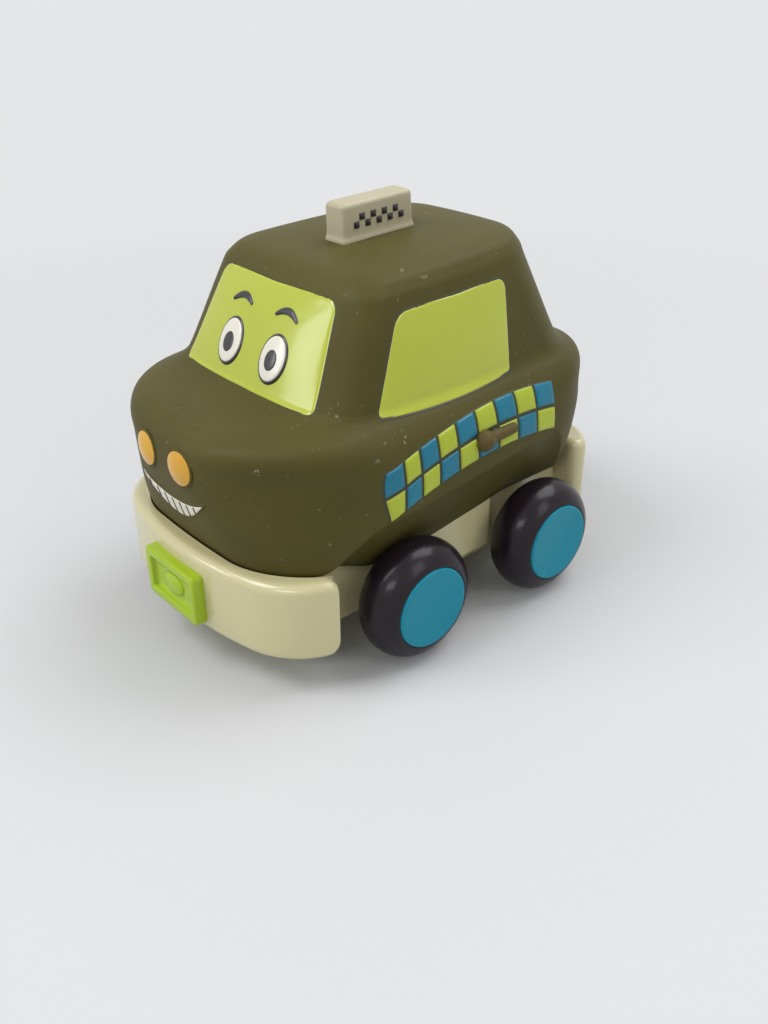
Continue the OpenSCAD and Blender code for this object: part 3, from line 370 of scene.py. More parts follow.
def metal(name, tone, rough):
    """Turned steel with fine lines across the X axis."""
    m = Finish(name)
    stretched = m.node("ShaderNodeMapping", {}, {"Vector": m.position(), "Scale": BRUSH_STRETCH})
    lines = m.noise(BRUSH, 3.0, 0.6, stretched)
    dark = tuple(0.75 * t for t in tone[:3]) + (1.0,)
    m.set(Base_Color=m.mix(lines, tone, dark), Metallic=1.0, Roughness=(lines * 0.2 + rough).clamp())
    return m.material


VINYL = vinyl("body_vinyl", (74, 69, 32), (82, 76, 36))
RUBBED = vinyl("rubbed_vinyl", (86, 74, 40), (92, 80, 45))
LIME = moulded("panel_lime", (174, 184, 50), (163, 174, 42), 0.24, coat=0.5, shine=0.4)
# Painted shade: a dark olive that stands for the shade in the grooves between the checks and in the seams
# round the windows
PAINTED_SHADE = moulded("check_shade_bed", (50, 50, 28), (42, 42, 22), 0.5)
TILE_FINISH = {"rough": 0.28, "coat": 0.1, "tone": 0.6, "shine": 0.3}
CHECK_BLUE = moulded("check_blue", (20, 114, 138), (15, 102, 125), **TILE_FINISH)
CHECK_LIME = moulded("check_lime", (168, 182, 50), (152, 168, 40), **TILE_FINISH)
AMBER = moulded("lamp_amber", (212, 162, 52), (196, 144, 38), 0.24, coat=0.3, tone=0.7, shine=0.35)
CREAM = moulded("chassis_cream", (200, 192, 148), (190, 182, 136), 0.2, coat=0.4)
SIGN = moulded("sign_cream", (176, 168, 140), (162, 154, 124), 0.42, grain=0.4)
PLATE = moulded("plate_lime", (160, 186, 28), (146, 174, 22), 0.24, coat=0.15, shine=0.35)
DISC = moulded("wheel_blue", (20, 134, 155), (16, 122, 143), 0.3, shine=0.2)
TYRE = moulded("tyre_black", (31, 23, 30), (25, 19, 25), 0.3, coat=0.15, grain=0.2, shine=0.2)
WHITE = moulded("eye_white", (222, 218, 204), (206, 202, 186), 0.24, coat=0.4)
BLACK = moulded("ink_black", (34, 32, 36), (26, 25, 28), 0.3, coat=0.3)
TOOTH = moulded("grille_white", (218, 212, 196), (200, 194, 176), 0.28, coat=0.3)
DECK = moulded("deck_grey", (138, 134, 120), (120, 116, 104), 0.5)
CASE = moulded("case_dark", (74, 46, 44), (62, 38, 38), 0.45)
GEAR_WHITE = moulded("gear_white", (226, 220, 204), (214, 208, 190), 0.4)
GEAR_AMBER = moulded("gear_amber", (210, 172, 60), (196, 156, 46), 0.4)
STEEL = metal("axle_steel", (0.55, 0.55, 0.57, 1.0), 0.25)
SPRING = metal("spring_steel", (0.16, 0.16, 0.18, 1.0), 0.3)


# Tools for meshes
def piece(name, verts, faces, material, body="vehicle", slot=None, crease=None):
    """Adds a mesh given in millimetres, shades it smooth and lets it ride on a body."""
    mesh = bpy.data.meshes.new(name)
    points = [tuple(p) for p in np.asarray(verts) * MM]
    mesh.from_pydata(points, [], [tuple(int(i) for i in f) for f in faces])
    mesh.validate()
    mesh.update()
    mesh.materials.append(material)
    mesh.shade_smooth()
    if crease is not None:
        mesh.set_sharp_from_angle(angle=math.radians(crease))
    o = bpy.data.objects.new(name, mesh)
    bpy.context.scene.collection.objects.link(o)
    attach(o, body)
    return o


def grid_faces(rows, cols, wrap=False, start=0, flip=False):
    faces = []
    for r in range(rows - 1):
        here, above = start + r * cols, start + (r + 1) * cols
        for i in range(cols if wrap else cols - 1):
            j = (i + 1) % cols
            f = [here + i, here + j, above + j, above + i]
            faces.append(f[::-1] if flip else f)
    return faces


def join(parts):
    """Joins (verts, faces) pairs."""
    verts, faces, n = [], [], 0
    for v, f in parts:
        verts.append(np.asarray(v, float).reshape(-1, 3))
        faces += [[i + n for i in q] for q in f]
        n += len(verts[-1])
    return np.concatenate(verts), faces


def mirrored(part):
    verts, faces = part
    return np.asarray(verts) * (-1, 1, 1), [f[::-1] for f in faces]


def both_sides(parts):
    """Each part, followed by its mirror image."""
    return [p for part in parts for p in (part, mirrored(part))]


def loft(rings, cap_first=True, cap_last=True, flip=False):
    """Skins a list of closed rings with the same number of points."""
    rings = np.asarray(rings, float)
    m, n = rings.shape[:2]
    faces = grid_faces(m, n, wrap=True, flip=flip)
    first, last = list(range(n)), list(range((m - 1) * n, m * n))
    if cap_first:
        faces.append(first if flip else first[::-1])
    if cap_last:
        faces.append(last[::-1] if flip else last)
    return rings.reshape(-1, 3), faces


def circle(n):
    return np.linspace(0, 2 * math.pi, n, endpoint=False)


def turned(profile, n):
    """Revolves [radius, x] points about the X axis; the profile runs from the outside face inwards."""
    a = circle(n)
    rings = [np.column_stack([np.full(n, x), r * np.cos(a), r * np.sin(a)]) for r, x in profile]
    return loft(rings, flip=True)


def rounded_rect(hx, hy, r, n=8):
    """Outline with half sizes hx and hy and n steps round each corner."""
    points = []
    for quarter, (sx, sy) in enumerate(((1, 1), (-1, 1), (-1, -1), (1, -1))):
        for i in range(n + 1):
            a = math.radians(90 * quarter + 90 * i / n)
            points.append((sx * (hx - r) + r * math.cos(a), sy * (hy - r) + r * math.sin(a)))
    return np.array(points)


def arc(cx, cy, r, start, end, n):
    a = np.radians(np.linspace(start, end, n + 1))
    return list(zip(cx + r * np.cos(a), cy + r * np.sin(a)))


def eased(n, power=1.8):
    """n + 1 shares from 0 to 1, closer together at both ends."""
    t = np.linspace(-1, 1, n + 1)
    return (np.sign(t) * (1 - (1 - np.abs(t)) ** power) + 1) / 2


def corner_in(d, r):
    """How far an outline with a corner of radius r is drawn in at a distance d from its end."""
    return np.where(d >= r, 0, r - np.sqrt(np.maximum(r * r - (r - d) ** 2, 0)))


def rounded_rise(far, low, rise, edge):
    """Height at a distance from a border: low on it, rounding up to rise within edge."""
    k = np.clip(far / edge, 0, 1)
    return low + (rise - low) * np.sqrt(1 - (1 - k) ** 2)


def pillow(c, v, low, rise, edge, crown=0.0, reach=7.0, flip=False):
    """A panel on the skin with a rounded border; it swells by crown over a reach from its borders."""
    flat = skin(c, v)
    borders = (flat[0], flat[:, -1], flat[-1], flat[:, 0])
    far = [np.linalg.norm(flat[:, :, None] - line, axis=-1).min(axis=-1) for line in borders]
    swell = np.multiply.reduce([1 - np.exp(-d / reach) for d in far])
    lift = rounded_rise(np.minimum.reduce(far), low, rise, edge) + crown * swell
    return on_skin(c, v, lift).reshape(-1, 3), grid_faces(*c.shape, flip=flip)


# Body: its skirt is drawn down between the wheels, less and less towards the rear
BODY_ROUND, FLANK_RINGS, ARCH_RINGS, SIDE_RINGS, TOP_RINGS = 288, 9, 7, 34, 92
SKIRT_DROP, SKIRT_SLOPE, SKIRT_EDGE = 4.2, 0.138, 2.0
SKIRT_REAR_Y, SKIRT_FRONT_Y, SKIRT_RAMP, SKIRT_OUT = 22.0, -36.0, 14.0, 0.25
LIP_INSETS = (6.0, 3.0)
ARCH_ROUND, ARCH_ROUND_SHARE, ARCH_LOOK_V = 0.7, 0.45, 0.2
ROOF_SWELL, ROOF_RINGS = 0.2, (0.3, 0.6, 0.85)


def skirt_rim(c):
    """The body's lower rim with the skirt's drop."""
    low = skin(c, np.zeros(len(c)))
    x, y = np.abs(low[:, 0]), low[:, 1]
    drop = np.clip(SKIRT_SLOPE * (SKIRT_REAR_Y - y), 0, SKIRT_DROP)
    drop = np.clip((x - RIM_HW) / SKIRT_EDGE, 0, 1) * drop * smooth((y - SKIRT_FRONT_Y) / SKIRT_RAMP)
    x = np.minimum(x, RIM_HW) + SKIRT_OUT * np.clip(drop, 0, 1)
    return np.stack([np.sign(low[:, 0]) * x, y, RIM_Z - drop], -1)


def inner_lip(rim, inset):
    """A level ring inside the rim."""
    middle, reach = (LEVELS[0][2] + LEVELS[0][3]) / 2, (LEVELS[0][3] - LEVELS[0][2]) / 2
    x = rim[:, 0] * (1 - inset / RIM_HW)
    y = middle + (rim[:, 1] - middle) * (1 - inset / reach)
    return np.stack([x, y, np.full(len(rim), RIM_Z)], -1)


def roof_ring(top, share):
    """A ring some share of the way from the roof's edge to its middle."""
    middle = np.array([0, (LEVELS[LAST][2] + LEVELS[LAST][3]) / 2, 0])
    ring = lerp(top, middle, share)
    swell = ROOF_SWELL * (1 - (1 - share) ** 2)
    ring[:, 2] = top[:, 2] + ROOF_TILT * (ring[:, 1] - top[:, 1]) + swell
    return ring


def make_body():
    c = np.linspace(-CELLS, CELLS, BODY_ROUND, endpoint=False)
    arch = share_at(arch_edge(skin(c, ARCH_LOOK_V)[:, 1]))
    rim, edge = skirt_rim(c), skin(c, arch)
    flank = rim - edge
    room = np.minimum(np.linalg.norm(flank, axis=-1) * ARCH_ROUND_SHARE, ARCH_ROUND)[:, None]
    above = share_at(level(arch)[:, 0] + room[:, 0])
    under, over = edge + unit(flank) * room, skin(c, above)
    rings = [inner_lip(rim, inset) for inset in LIP_INSETS]
    rings += [lerp(rim, under, t) for t in np.linspace(0, 1, FLANK_RINGS)]
    for t in np.linspace(0, 1, ARCH_RINGS)[1:-1]:
        rings.append((1 - t) ** 2 * under + 2 * t * (1 - t) * edge + t * t * over)
    rings += [skin(c, lerp(above, SHOULDER, t)) for t in np.linspace(0, 1, SIDE_RINGS)]
    rings += [skin(c, np.full(BODY_ROUND, v)) for v in np.linspace(SHOULDER, 1, TOP_RINGS)[1:]]
    top = rings[-1]
    rings += [roof_ring(top, share) for share in ROOF_RINGS]
    body = piece("body_skin", *loft(rings, cap_first=False), VINYL, slot="body_vinyl")
    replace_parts(body, "body_shell")


# Windows: swelling panels in beds of painted shade, a dark colour for the shade in the seams round them
WINDOW_STEPS, WINDOW_CORNER = 48, 3.0
SCREEN_FOOT_Z, SCREEN_TOP_Z = BELT_Z + 1.7, ROOF_Z - 5.2
GLASS_FOOT_Z, GLASS_TOP_Z = BELT_Z + 0.2, ROOF_Z - 8.3
GLASS_FRONT, GLASS_REAR = FOOT_FRONT + 11.5, FOOT_REAR - 28.2
GLASS_LEAN, GLASS_REAR_LEAN, GLASS_BOW = 9.3, 1.0, 1.0
SCREENS = (("windscreen", 25.0, 21.0, False), ("rear_window", 22.0, 18.0, True))
BED_GROW = 0.3
BED = {"low": -0.1, "rise": 0.08, "edge": 0.3}
PANEL = {"low": -0.35, "rise": 0.22, "edge": 0.7, "crown": 0.75, "reach": 5.0}


def window_in(t, h):
    """How far a window's sides are drawn in by its corners; the lower ones have half the radius."""
    return np.maximum(corner_in((1 - t) * h, WINDOW_CORNER), corner_in(t * h, WINDOW_CORNER / 2))


def screen_grid(foot_hw, top_hw, rear):
    """Cells and shares of the windscreen or the rear window."""
    t = eased(WINDOW_STEPS)
    v = share_at(lerp(SCREEN_FOOT_Z, SCREEN_TOP_Z, t))
    half = lerp(foot_hw, top_hw, t) - window_in(t, SCREEN_TOP_Z - SCREEN_FOOT_Z)
    ends = cells_rear(level(v), half) if rear else cells_front(level(v), half)
    c = ends[:, None] * (2 * t - 1)
    if rear:
        c = np.where(c <= 0, CELLS + c, c - CELLS)
    return c, np.broadcast_to(v[:, None], c.shape)


def glass_grid(grow):
    """Cells and shares of the left side window; its front edge leans back, its lower edge bows down."""
    low, high = GLASS_FOOT_Z - grow, GLASS_TOP_Z + grow
    t = eased(WINDOW_STEPS)
    z = lerp(low, high, t)
    q = level(share_at(z))
    cut = window_in(t, high - low)
    front = cells_side(q, GLASS_FRONT - grow + GLASS_LEAN * t + cut)
    rear = cells_side(q, GLASS_REAR + grow + GLASS_REAR_LEAN * t - cut)
    bow = 4 * GLASS_BOW * t * (1 - t) * (1 - t[:, None]) ** 2
    return lerp(front[:, None], rear[:, None], t), share_at(z[:, None] - bow)


def window_panels(grow, relief):
    """The four windows, grown by a border, as (name, part) pairs."""
    panels = []
    for name, foot, top, rear in SCREENS:
        panels.append((name, pillow(*screen_grid(foot + grow, top + grow, rear), **relief)))
    left = pillow(*glass_grid(grow), **relief)
    return panels + [("side_window_left", left), ("side_window_right", mirrored(left))]


def make_windows():
    beds = [part for _, part in window_panels(BED_GROW, BED)]
    # Painted shade: the beds stand out past the panels as a dark seam
    piece("window_shade_beds", *join(beds), PAINTED_SHADE, slot="body_vinyl")
    for name, part in window_panels(0.0, PANEL):
        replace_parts(piece(name + "_panel", *part, LIME, slot="panel_lime"), name)


# Band of checks: it rises with the wheel arch, both edges bow up and its columns widen to the rear
CHECK_N, CHECK_GAP, CHECK_STEPS = 9, 0.7, 10
BAND_FRONT, BAND_REAR, BAND_GROW, BAND_EVEN = FRONT_AXLE_Y - 8.6, REAR_AXLE_Y + 3.4, 0.38, 0.22
BAND_H, BAND_CLEAR, BAND_LIFT, BAND_BOW = 12.8, 0.5, 16.0, 13.0
TILE = {"low": -0.12, "rise": 0.42, "edge": 0.45}
CHECK_BED = {"low": -0.1, "rise": 0.07, "edge": 0.25, "flip": True}
CHECK_BED_SIDE, CHECK_BED_LOW, CHECK_BED_TOP, CHECK_BED_STEPS = 0.1, 0.2, 0.25, (60, 24)


def band_y(i):
    t = i / CHECK_N
    return lerp(BAND_FRONT, BAND_REAR, t - (BAND_GROW - BAND_EVEN * t) * t * (1 - t))


def band_edges(y):
    """Heights of the band's lower and upper edge at a station."""
    u = (y - BAND_FRONT) / (BAND_REAR - BAND_FRONT)
    low = arch_edge(y) + BAND_CLEAR + BAND_LIFT * u * (1 - u)
    return low, lerp(ARCH_FRONT_Z, ARCH_REAR_Z, u) + BAND_H + BAND_BOW * u * (1 - u)


def check(i, j):
    """Tile of column i in the lower row (j = 0) or the upper one."""
    t, s = np.meshgrid(eased(CHECK_STEPS), eased(CHECK_STEPS), indexing="ij")
    y = lerp(band_y(i) + CHECK_GAP / 2, band_y(i + 1) - CHECK_GAP / 2, s)
    low, high = band_edges(y)
    middle = (low + high) / 2
    z = lerp(middle + CHECK_GAP / 2, high, t) if j else lerp(low, middle - CHECK_GAP / 2, t)
    v = share_at(z)
    return pillow(cells_side(level(v), y), v, **TILE)


# Sheet of painted shade under the band, seen in the grooves between the checks
def check_shade_bed():
    s, t = np.meshgrid(*(eased(n) for n in CHECK_BED_STEPS), indexing="ij")
    y = lerp(BAND_FRONT - CHECK_BED_SIDE, BAND_REAR + CHECK_BED_SIDE, s)
    low, high = band_edges(y)
    v = share_at(lerp(low - CHECK_BED_LOW, high + CHECK_BED_TOP, t))
    return pillow(cells_side(level(v), y), v, **CHECK_BED)


def make_checks():
    # Painted shade: a dark sheet under the tiles shows in the grooves between them
    piece("checks_shade_bed", *join(both_sides([check_shade_bed()])), PAINTED_SHADE, slot="body_vinyl")
    for name, material, slot, colour in (("checks_blue", CHECK_BLUE, "check_blue", 1),
                                         ("checks_lime", CHECK_LIME, "check_lime", 0)):
        tiles = [check(i, j) for i in range(CHECK_N) for j in (0, 1) if (i + j) % 2 == colour]
        tiles += [mirrored(t) for t in tiles]
        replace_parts(piece(name + "_tiles", *join(tiles), material, slot=slot), name)


# Door handles: a ball and a tapering bar; stations up to 1 count radii of the ball, later ones BAR_STEP
HANDLE_Y, HANDLE_Z, HANDLE_R, HANDLE_OUT = FRONT_AXLE_Y + 21.1, ARCH_FRONT_Z + 11.4, 2.65, 0.5
BAR_STEP, BAR_NECK, BAR_TIP, BAR_L = 2.4, 0.64, 0.5, 5.0
BAR_FROM, BAR_CAP_AT, BAR_CAP = 0.2, 4.4, 0.42
HANDLE_BLEND, HANDLE_ROUND = 8, 28
HANDLE_STATIONS = np.concatenate([np.linspace(-1, 0.70, 22), np.linspace(0.80, BAR_CAP_AT, 14),
                                  BAR_CAP_AT + np.array([0.15, 0.28, 0.36, 0.4])])


def handle_radius(u):
    ball = math.sqrt(max(1 - u * u, 0))
    bar = lerp(BAR_NECK, BAR_TIP, min(u / BAR_L, 1)) if u > BAR_FROM else 0.0
    if u > BAR_CAP_AT:
        bar *= math.sqrt(max(1 - ((u - BAR_CAP_AT) / BAR_CAP) ** 2, 0))
    return HANDLE_R * (ball**HANDLE_BLEND + bar**HANDLE_BLEND) ** (1 / HANDLE_BLEND)


def handle():
    v = float(share_at(HANDLE_Z))
    a = circle(HANDLE_ROUND)[:, None]
    rings = []
    for u in HANDLE_STATIONS:
        y = HANDLE_Y + u * (BAR_STEP if u > 1 else HANDLE_R)
        c = cells_side(level(v), np.array(y))
        out = skin_normal(c, v)
        across = np.cross(unit(skin(c + STEP_C, v) - skin(c - STEP_C, v)), out)
        middle = skin(c, v) + HANDLE_OUT * out
        rings.append(middle + handle_radius(u) * (np.cos(a) * out + np.sin(a) * across))
    return loft(rings)


def make_handles():
    for name, part in zip(("handle_left", "handle_right"), both_sides([handle()])):
        piece(name, *part, RUBBED, slot="body_vinyl")


# Face: round eyes that look ahead, short brows and a smile-shaped grille with upright bars
EYE_X, EYE_Z = 8.2, 71.6
OVAL_RINGS, OVAL_ROUND, OVAL_EASE = 14, 64, 1.6
EYE_LAYERS = (
    # Name, finish, half width, half height, drop, border, rise, edge, crown
    ("eye_rims", BLACK, 4.6, 5.6, 0.0, 0.6, 1.12, 0.5, 0.0),
    ("eye_whites", WHITE, 4.0, 5.0, 0.0, 1.05, 1.30, 0.5, 0.25),
    ("eye_pupils", BLACK, 2.0, 2.4, 0.4, 1.35, 1.58, 0.35, 0.12),
)
BROW_X, BROW_L, BROW_Z, BROW_ARCH, BROW_STEPS = 4.6, 7.4, 79.6, 2.4, 60
BROW_THIN, BROW_THICK = 0.30, 0.55
BROW_RELIEF = {"low": 0.5, "rise": 1.12, "edge": 0.5}
SMILE_HW, SMILE_LOW_Z, SMILE_TOP_Z = 12.6, 37.0, 41.6
SMILE_LOW_BOW, SMILE_TOP_BOW, SMILE_MIN_H, SMILE_REACH = 0.045, 0.016, 0.05, 3.0
SMILE_STEPS = (72, 16)
GRILLE_RIM_GROW = 0.7
BAR_N, BAR_PITCH, BAR_HW, BAR_SHORT, BAR_STEPS, BAR_ACROSS = 7, 3.1, 0.24, 0.2, 20, 6
BAR_RELIEF = {"low": 0.2, "rise": 0.52, "edge": 0.2}


def on_front(x, z, lift):
    v = share_at(z)
    return on_skin(cells_front(level(v), x), v, lift)


def oval(x, z, rx, rz, low, rise, edge, crown):
    """A raised oval on the front of the car."""
    share = 1 - (1 - np.linspace(0, 1, OVAL_RINGS + 1)) ** OVAL_EASE
    k, a = np.meshgrid(share[1:], circle(OVAL_ROUND), indexing="ij")
    lift = rounded_rise((1 - k) * min(rx, rz), low, rise, edge) + crown * (1 - k * k)
    rings = on_front(x + rx * k * np.cos(a), z + rz * k * np.sin(a), lift).reshape(-1, 3)
    middle = on_front(np.array([x]), np.array([z]), np.array([rise + crown]))
    faces = grid_faces(OVAL_RINGS, OVAL_ROUND, wrap=True, start=1, flip=True)
    faces += [[0, 1 + i, 1 + (i + 1) % OVAL_ROUND] for i in range(OVAL_ROUND)]
    return np.concatenate([middle, rings]), faces


def front_strip(x, z, half, low, rise, edge, across=12):
    """A raised stroke on the front along points x, z with a half width at each."""
    dx, dz = np.gradient(x), np.gradient(z)
    size = np.hypot(dx, dz)
    s = 2 * eased(across) - 1
    side = half[:, None] * s
    strip_x = x[:, None] - (dz / size)[:, None] * side
    strip_z = z[:, None] + (dx / size)[:, None] * side
    lift = rounded_rise((1 - np.abs(s)) * half[:, None], low, rise, edge)
    return on_front(strip_x, strip_z, lift).reshape(-1, 3), grid_faces(len(x), across + 1, flip=True)


def brow(side):
    t = np.linspace(0, 1, BROW_STEPS)
    z = BROW_Z + BROW_ARCH * np.sin(np.pi * (0.15 + 0.75 * t))
    half = BROW_THIN + BROW_THICK * np.sin(np.pi * (0.1 + 0.8 * t))
    return front_strip(side * (BROW_X + BROW_L * t), z, half, **BROW_RELIEF)


def smile_edges(x):
    """Heights of the grille's lower and upper edge at x."""
    return SMILE_LOW_Z + SMILE_LOW_BOW * x * x, SMILE_TOP_Z + SMILE_TOP_BOW * x * x


def smile_panel(grow, low, rise, edge, crown):
    s, t = (eased(n) for n in SMILE_STEPS)
    x = (SMILE_HW + grow) * (2 * s - 1)
    bottom, top = smile_edges(x)
    top = top + grow
    bottom = np.minimum(bottom - grow, top - SMILE_MIN_H)
    z = lerp(bottom[:, None], top[:, None], t)
    v = share_at(z)
    c = cells_front(level(v), np.broadcast_to(x[:, None], z.shape))
    return pillow(c, v, low, rise, edge, crown, SMILE_REACH, flip=True)


def grille_bar(x):
    bottom, top = smile_edges(x)
    t = np.linspace(0, 1, BAR_STEPS)
    z = lerp(bottom + BAR_SHORT, top - BAR_SHORT, t)
    return front_strip(x + 0 * t, z, BAR_HW + 0 * t, **BAR_RELIEF, across=BAR_ACROSS)


def make_face():
    for name, material, rx, rz, drop, low, rise, edge, crown in EYE_LAYERS:
        ovals = [oval(side * EYE_X, EYE_Z - drop, rx, rz, low, rise, edge, crown) for side in (-1, 1)]
        piece(name, *join(ovals), material)
    piece("brows", *join([brow(side) for side in (-1, 1)]), BLACK)
    rim = smile_panel(GRILLE_RIM_GROW, low=-0.2, rise=0.22, edge=0.6, crown=0.0)
    piece("grille_rim", *rim, VINYL, slot="body_vinyl")
    piece("grille_face", *smile_panel(0.0, low=0.1, rise=0.34, edge=0.4, crown=0.12), TOOTH)
    bars = [grille_bar(BAR_PITCH * (k - BAR_N // 2)) for k in range(BAR_N)]
    piece("grille_bars", *join(bars), BLACK)


# Headlights: shallow domes in thin bezels, looking along the nose's normal
LAMP_R, LAMP_RISE, LAMP_SINK, LAMP_X, LAMP_Z = 4.15, 1.15, 0.8, 6.9, 52.0
LAMP_EDGE, LAMP_LIFT, LAMP_ROUND = 0.12, 0.05, 96
# Radius beyond the lamp's and height
BEZEL = ((0.5, -0.3), (0.42, 0.02), (0.26, 0.08), (0.1, 0.0), (0.04, -0.5))
POLE = 0.0001


def lamp_dome():
    """The dome as (radius, height) points."""
    ball = (LAMP_R**2 + LAMP_RISE**2) / (2 * LAMP_RISE)
    top = LAMP_R - LAMP_EDGE
    points = [(POLE, -LAMP_SINK), (LAMP_R - 0.05, -LAMP_SINK), (LAMP_R, -0.1), (LAMP_R - 0.02, 0.12),
              (top, 0.24)]
    for r in top * np.linspace(0.94, 0, 18):
        points.append((max(r, POLE), LAMP_RISE - ball + math.sqrt(ball * ball - r * r) + LAMP_LIFT))
    return points


def make_lamps():
    v = float(share_at(LAMP_Z))
    c = float(cells_front(level(v), np.array(LAMP_X)))
    a = circle(LAMP_ROUND)[:, None]
    for name, side in (("headlight_left", 1), ("headlight_right", -1)):
        middle, out = skin(side * c, v), skin_normal(side * c, v)
        across = unit(np.cross((0, 0, 1.0), out))
        ring = np.cos(a) * across + np.sin(a) * np.cross(out, across)
        dome = loft([middle + h * out + r * ring for r, h in lamp_dome()])
        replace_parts(piece(name + "_dome", *dome, AMBER, slot="lamp_amber"), name)
        rim = [middle + h * out + (LAMP_R + r) * ring for r, h in BEZEL]
        piece(name + "_bezel", *loft(rim, cap_first=False, cap_last=False), VINYL, slot="body_vinyl")


# Roof sign: a rounded block on a flared foot, with a strip of small checks on both sides
SIGN_HL, SIGN_HT, SIGN_H, SIGN_FLARE, SIGN_SINK, SIGN_ROUND = 11.0, 3.5, 9.0, 0.4, 0.7, 1.3
SIGN_Y = (FOOT_FRONT + FOOT_REAR) / 2 - 2.7
SIGN_Z = ROOF_Z + ROOF_TILT * SIGN_Y + 0.1 - SIGN_SINK
# Height and flare up the foot
SIGN_FOOT = ((0.0, SIGN_FLARE), (0.9, SIGN_FLARE), (1.3, SIGN_FLARE - 0.06),
             (1.6, 0.16), (2.2, 0.05), (3.2, 0.0))
STRIP_N, STRIP_PITCH, STRIP_Z, STRIP_CORNER = 9, 1.75, SIGN_SINK + 4.6, 0.22
# Height over the sign's side and half size of a small check
STRIP_LAYERS = ((-0.04, 0.82), (0.12, 0.82), (0.22, 0.74))


def on_roof(x, y, z):
    """Points of the sign's own frame, tilted with the roof and set on it."""
    tilt = math.atan(ROOF_TILT)
    along = y * math.cos(tilt) - z * math.sin(tilt)
    up = y * math.sin(tilt) + z * math.cos(tilt)
    return np.column_stack([x, along + SIGN_Y, up + SIGN_Z])


def sign_ring(z, inset, corner):
    x, y = rounded_rect(SIGN_HT - inset, SIGN_HL - inset, corner).T
    return on_roof(x, y, z)


def strip_check(side, y, z):
    rings = []
    for height, half in STRIP_LAYERS:
        across, up = rounded_rect(half, half, STRIP_CORNER, 3).T
        rings.append(on_roof(side * (SIGN_HT + height) + 0 * across, y + side * across, z + up))
    return loft(rings)


def make_sign():
    rings = [sign_ring(z, -flare, 0.9 + 0.5 * flare) for z, flare in SIGN_FOOT]
    for a in np.radians(np.linspace(0, 90, 9)):
        inset = SIGN_ROUND * (1 - math.cos(a))
        z = SIGN_H + SIGN_SINK - SIGN_ROUND * (1 - math.sin(a))
        rings.append(sign_ring(z, inset, max(1.1 - 0.3 * inset, 0.4)))
    block = piece("roof_sign_block", *loft(rings), SIGN, slot="sign_cream", crease=60)
    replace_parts(block, "roof_sign")
    places = [(i, j) for i in range(STRIP_N) for j in (0, 1) if (i + j) % 2 == 0]
    checks = [strip_check(side, (i - STRIP_N // 2) * STRIP_PITCH, STRIP_Z + (j - 0.5) * STRIP_PITCH)
              for side in (-1, 1) for i, j in places]
    piece("roof_sign_checks", *join(checks), BLACK, crease=50)


# Sizes of the chassis in the part's source
FLOOR_Z, FLOOR_T, WALL_T, SPINE_HW, SILL_OUT = 9.0, 2.0, 2.0, 28.5, 3.0
BUMPER_HW, BUMPER_R, BUMPER_SWEEP, BUMPER_EDGE = 40.2, 20.0, 100.0, 2.2
BUMPER_TOP, BUMPER_WALL, BUMPER_FLANGE, FLANGE_T = 29.5, 2.4, 3.6, 2.0
REAR_TOP, SILL_LOW_Z = RIM_Z + 7, FLOOR_Z + 3.6
SILL_FRONT, SILL_REAR, SILL_SLOPE = FRONT_AXLE_Y + 13, REAR_AXLE_Y - 10.8, 6.0
BUMPER_FRONT = FRONT_Y + PLATE_PROUD
FRONT_WELL, REAR_WELL = FRONT_AXLE_Y - 23, REAR_AXLE_Y + 18.3
FRONT_DEPTH, REAR_DEPTH = FRONT_WELL - BUMPER_FRONT, REAR_Y - REAR_WELL
BOSS_R, BOSS_BORE, BOSS_OUT, BOSS_IN, BOSS_EDGE, BOSS_ROUND = 4.0, 1.6, 32.7, 27.0, 0.4, 48

# Middle of a bumper's corner arc and the direction in which the long curve runs into it
CORNER_X = BUMPER_HW - BUMPER_R
CORNER_Y = BUMPER_SWEEP - math.sqrt((BUMPER_SWEEP - BUMPER_R) ** 2 - CORNER_X**2)
CORNER_TURN = math.degrees(math.asin(CORNER_X / (BUMPER_SWEEP - BUMPER_R))) - 90

# Roundings that only the looks have: the rear bumper's ends, the front one's lower corners, inner edges
END_R, CORNER_ROUND, INNER_ROUND = 3.0, 2.6, 0.2
END_SHRINK, END_SWELL = (0.86, 0.86, 0.975), 0.25
CORNER_EASE, SWEEP_STOPS, CORNER_STOPS, END_STOPS, RUN_STOPS = 1.7, 25, 36, 14, 24
FLOOR_IN, FLOOR_SIDE = 2.0, SPINE_HW - 0.15
FACE_GAP = 0.05
# Ledges: inset from the outer line, depth under the bumper's top, rounding and depth of the edge before the
# body, gap to the body, reach into it at a turned end
FRONT_LEDGE_IN, REAR_LEDGE_IN = 3.0, 1.8
LEDGE_LOW, LEDGE_ROUND, LEDGE_DEEP, LEDGE_GAP, LEDGE_SHUT = 0.04, 0.2, 1.6, 0.35, 0.2


def body_half(y, z):
    """Half width of the body's skin at a station and height."""
    p = skin(np.linspace(CELLS_F + CELLS_C, CELLS, 2001), share_at(z))
    return float(np.interp(y, p[:, 1], p[:, 0]))


def clear_top(x, y, top_z):
    """Height up to which a wall at x stands outside the body."""
    z = np.linspace(RIM_Z, top_z, 12)
    return float(np.interp(x - 0.1, [body_half(y, h) for h in z], z))


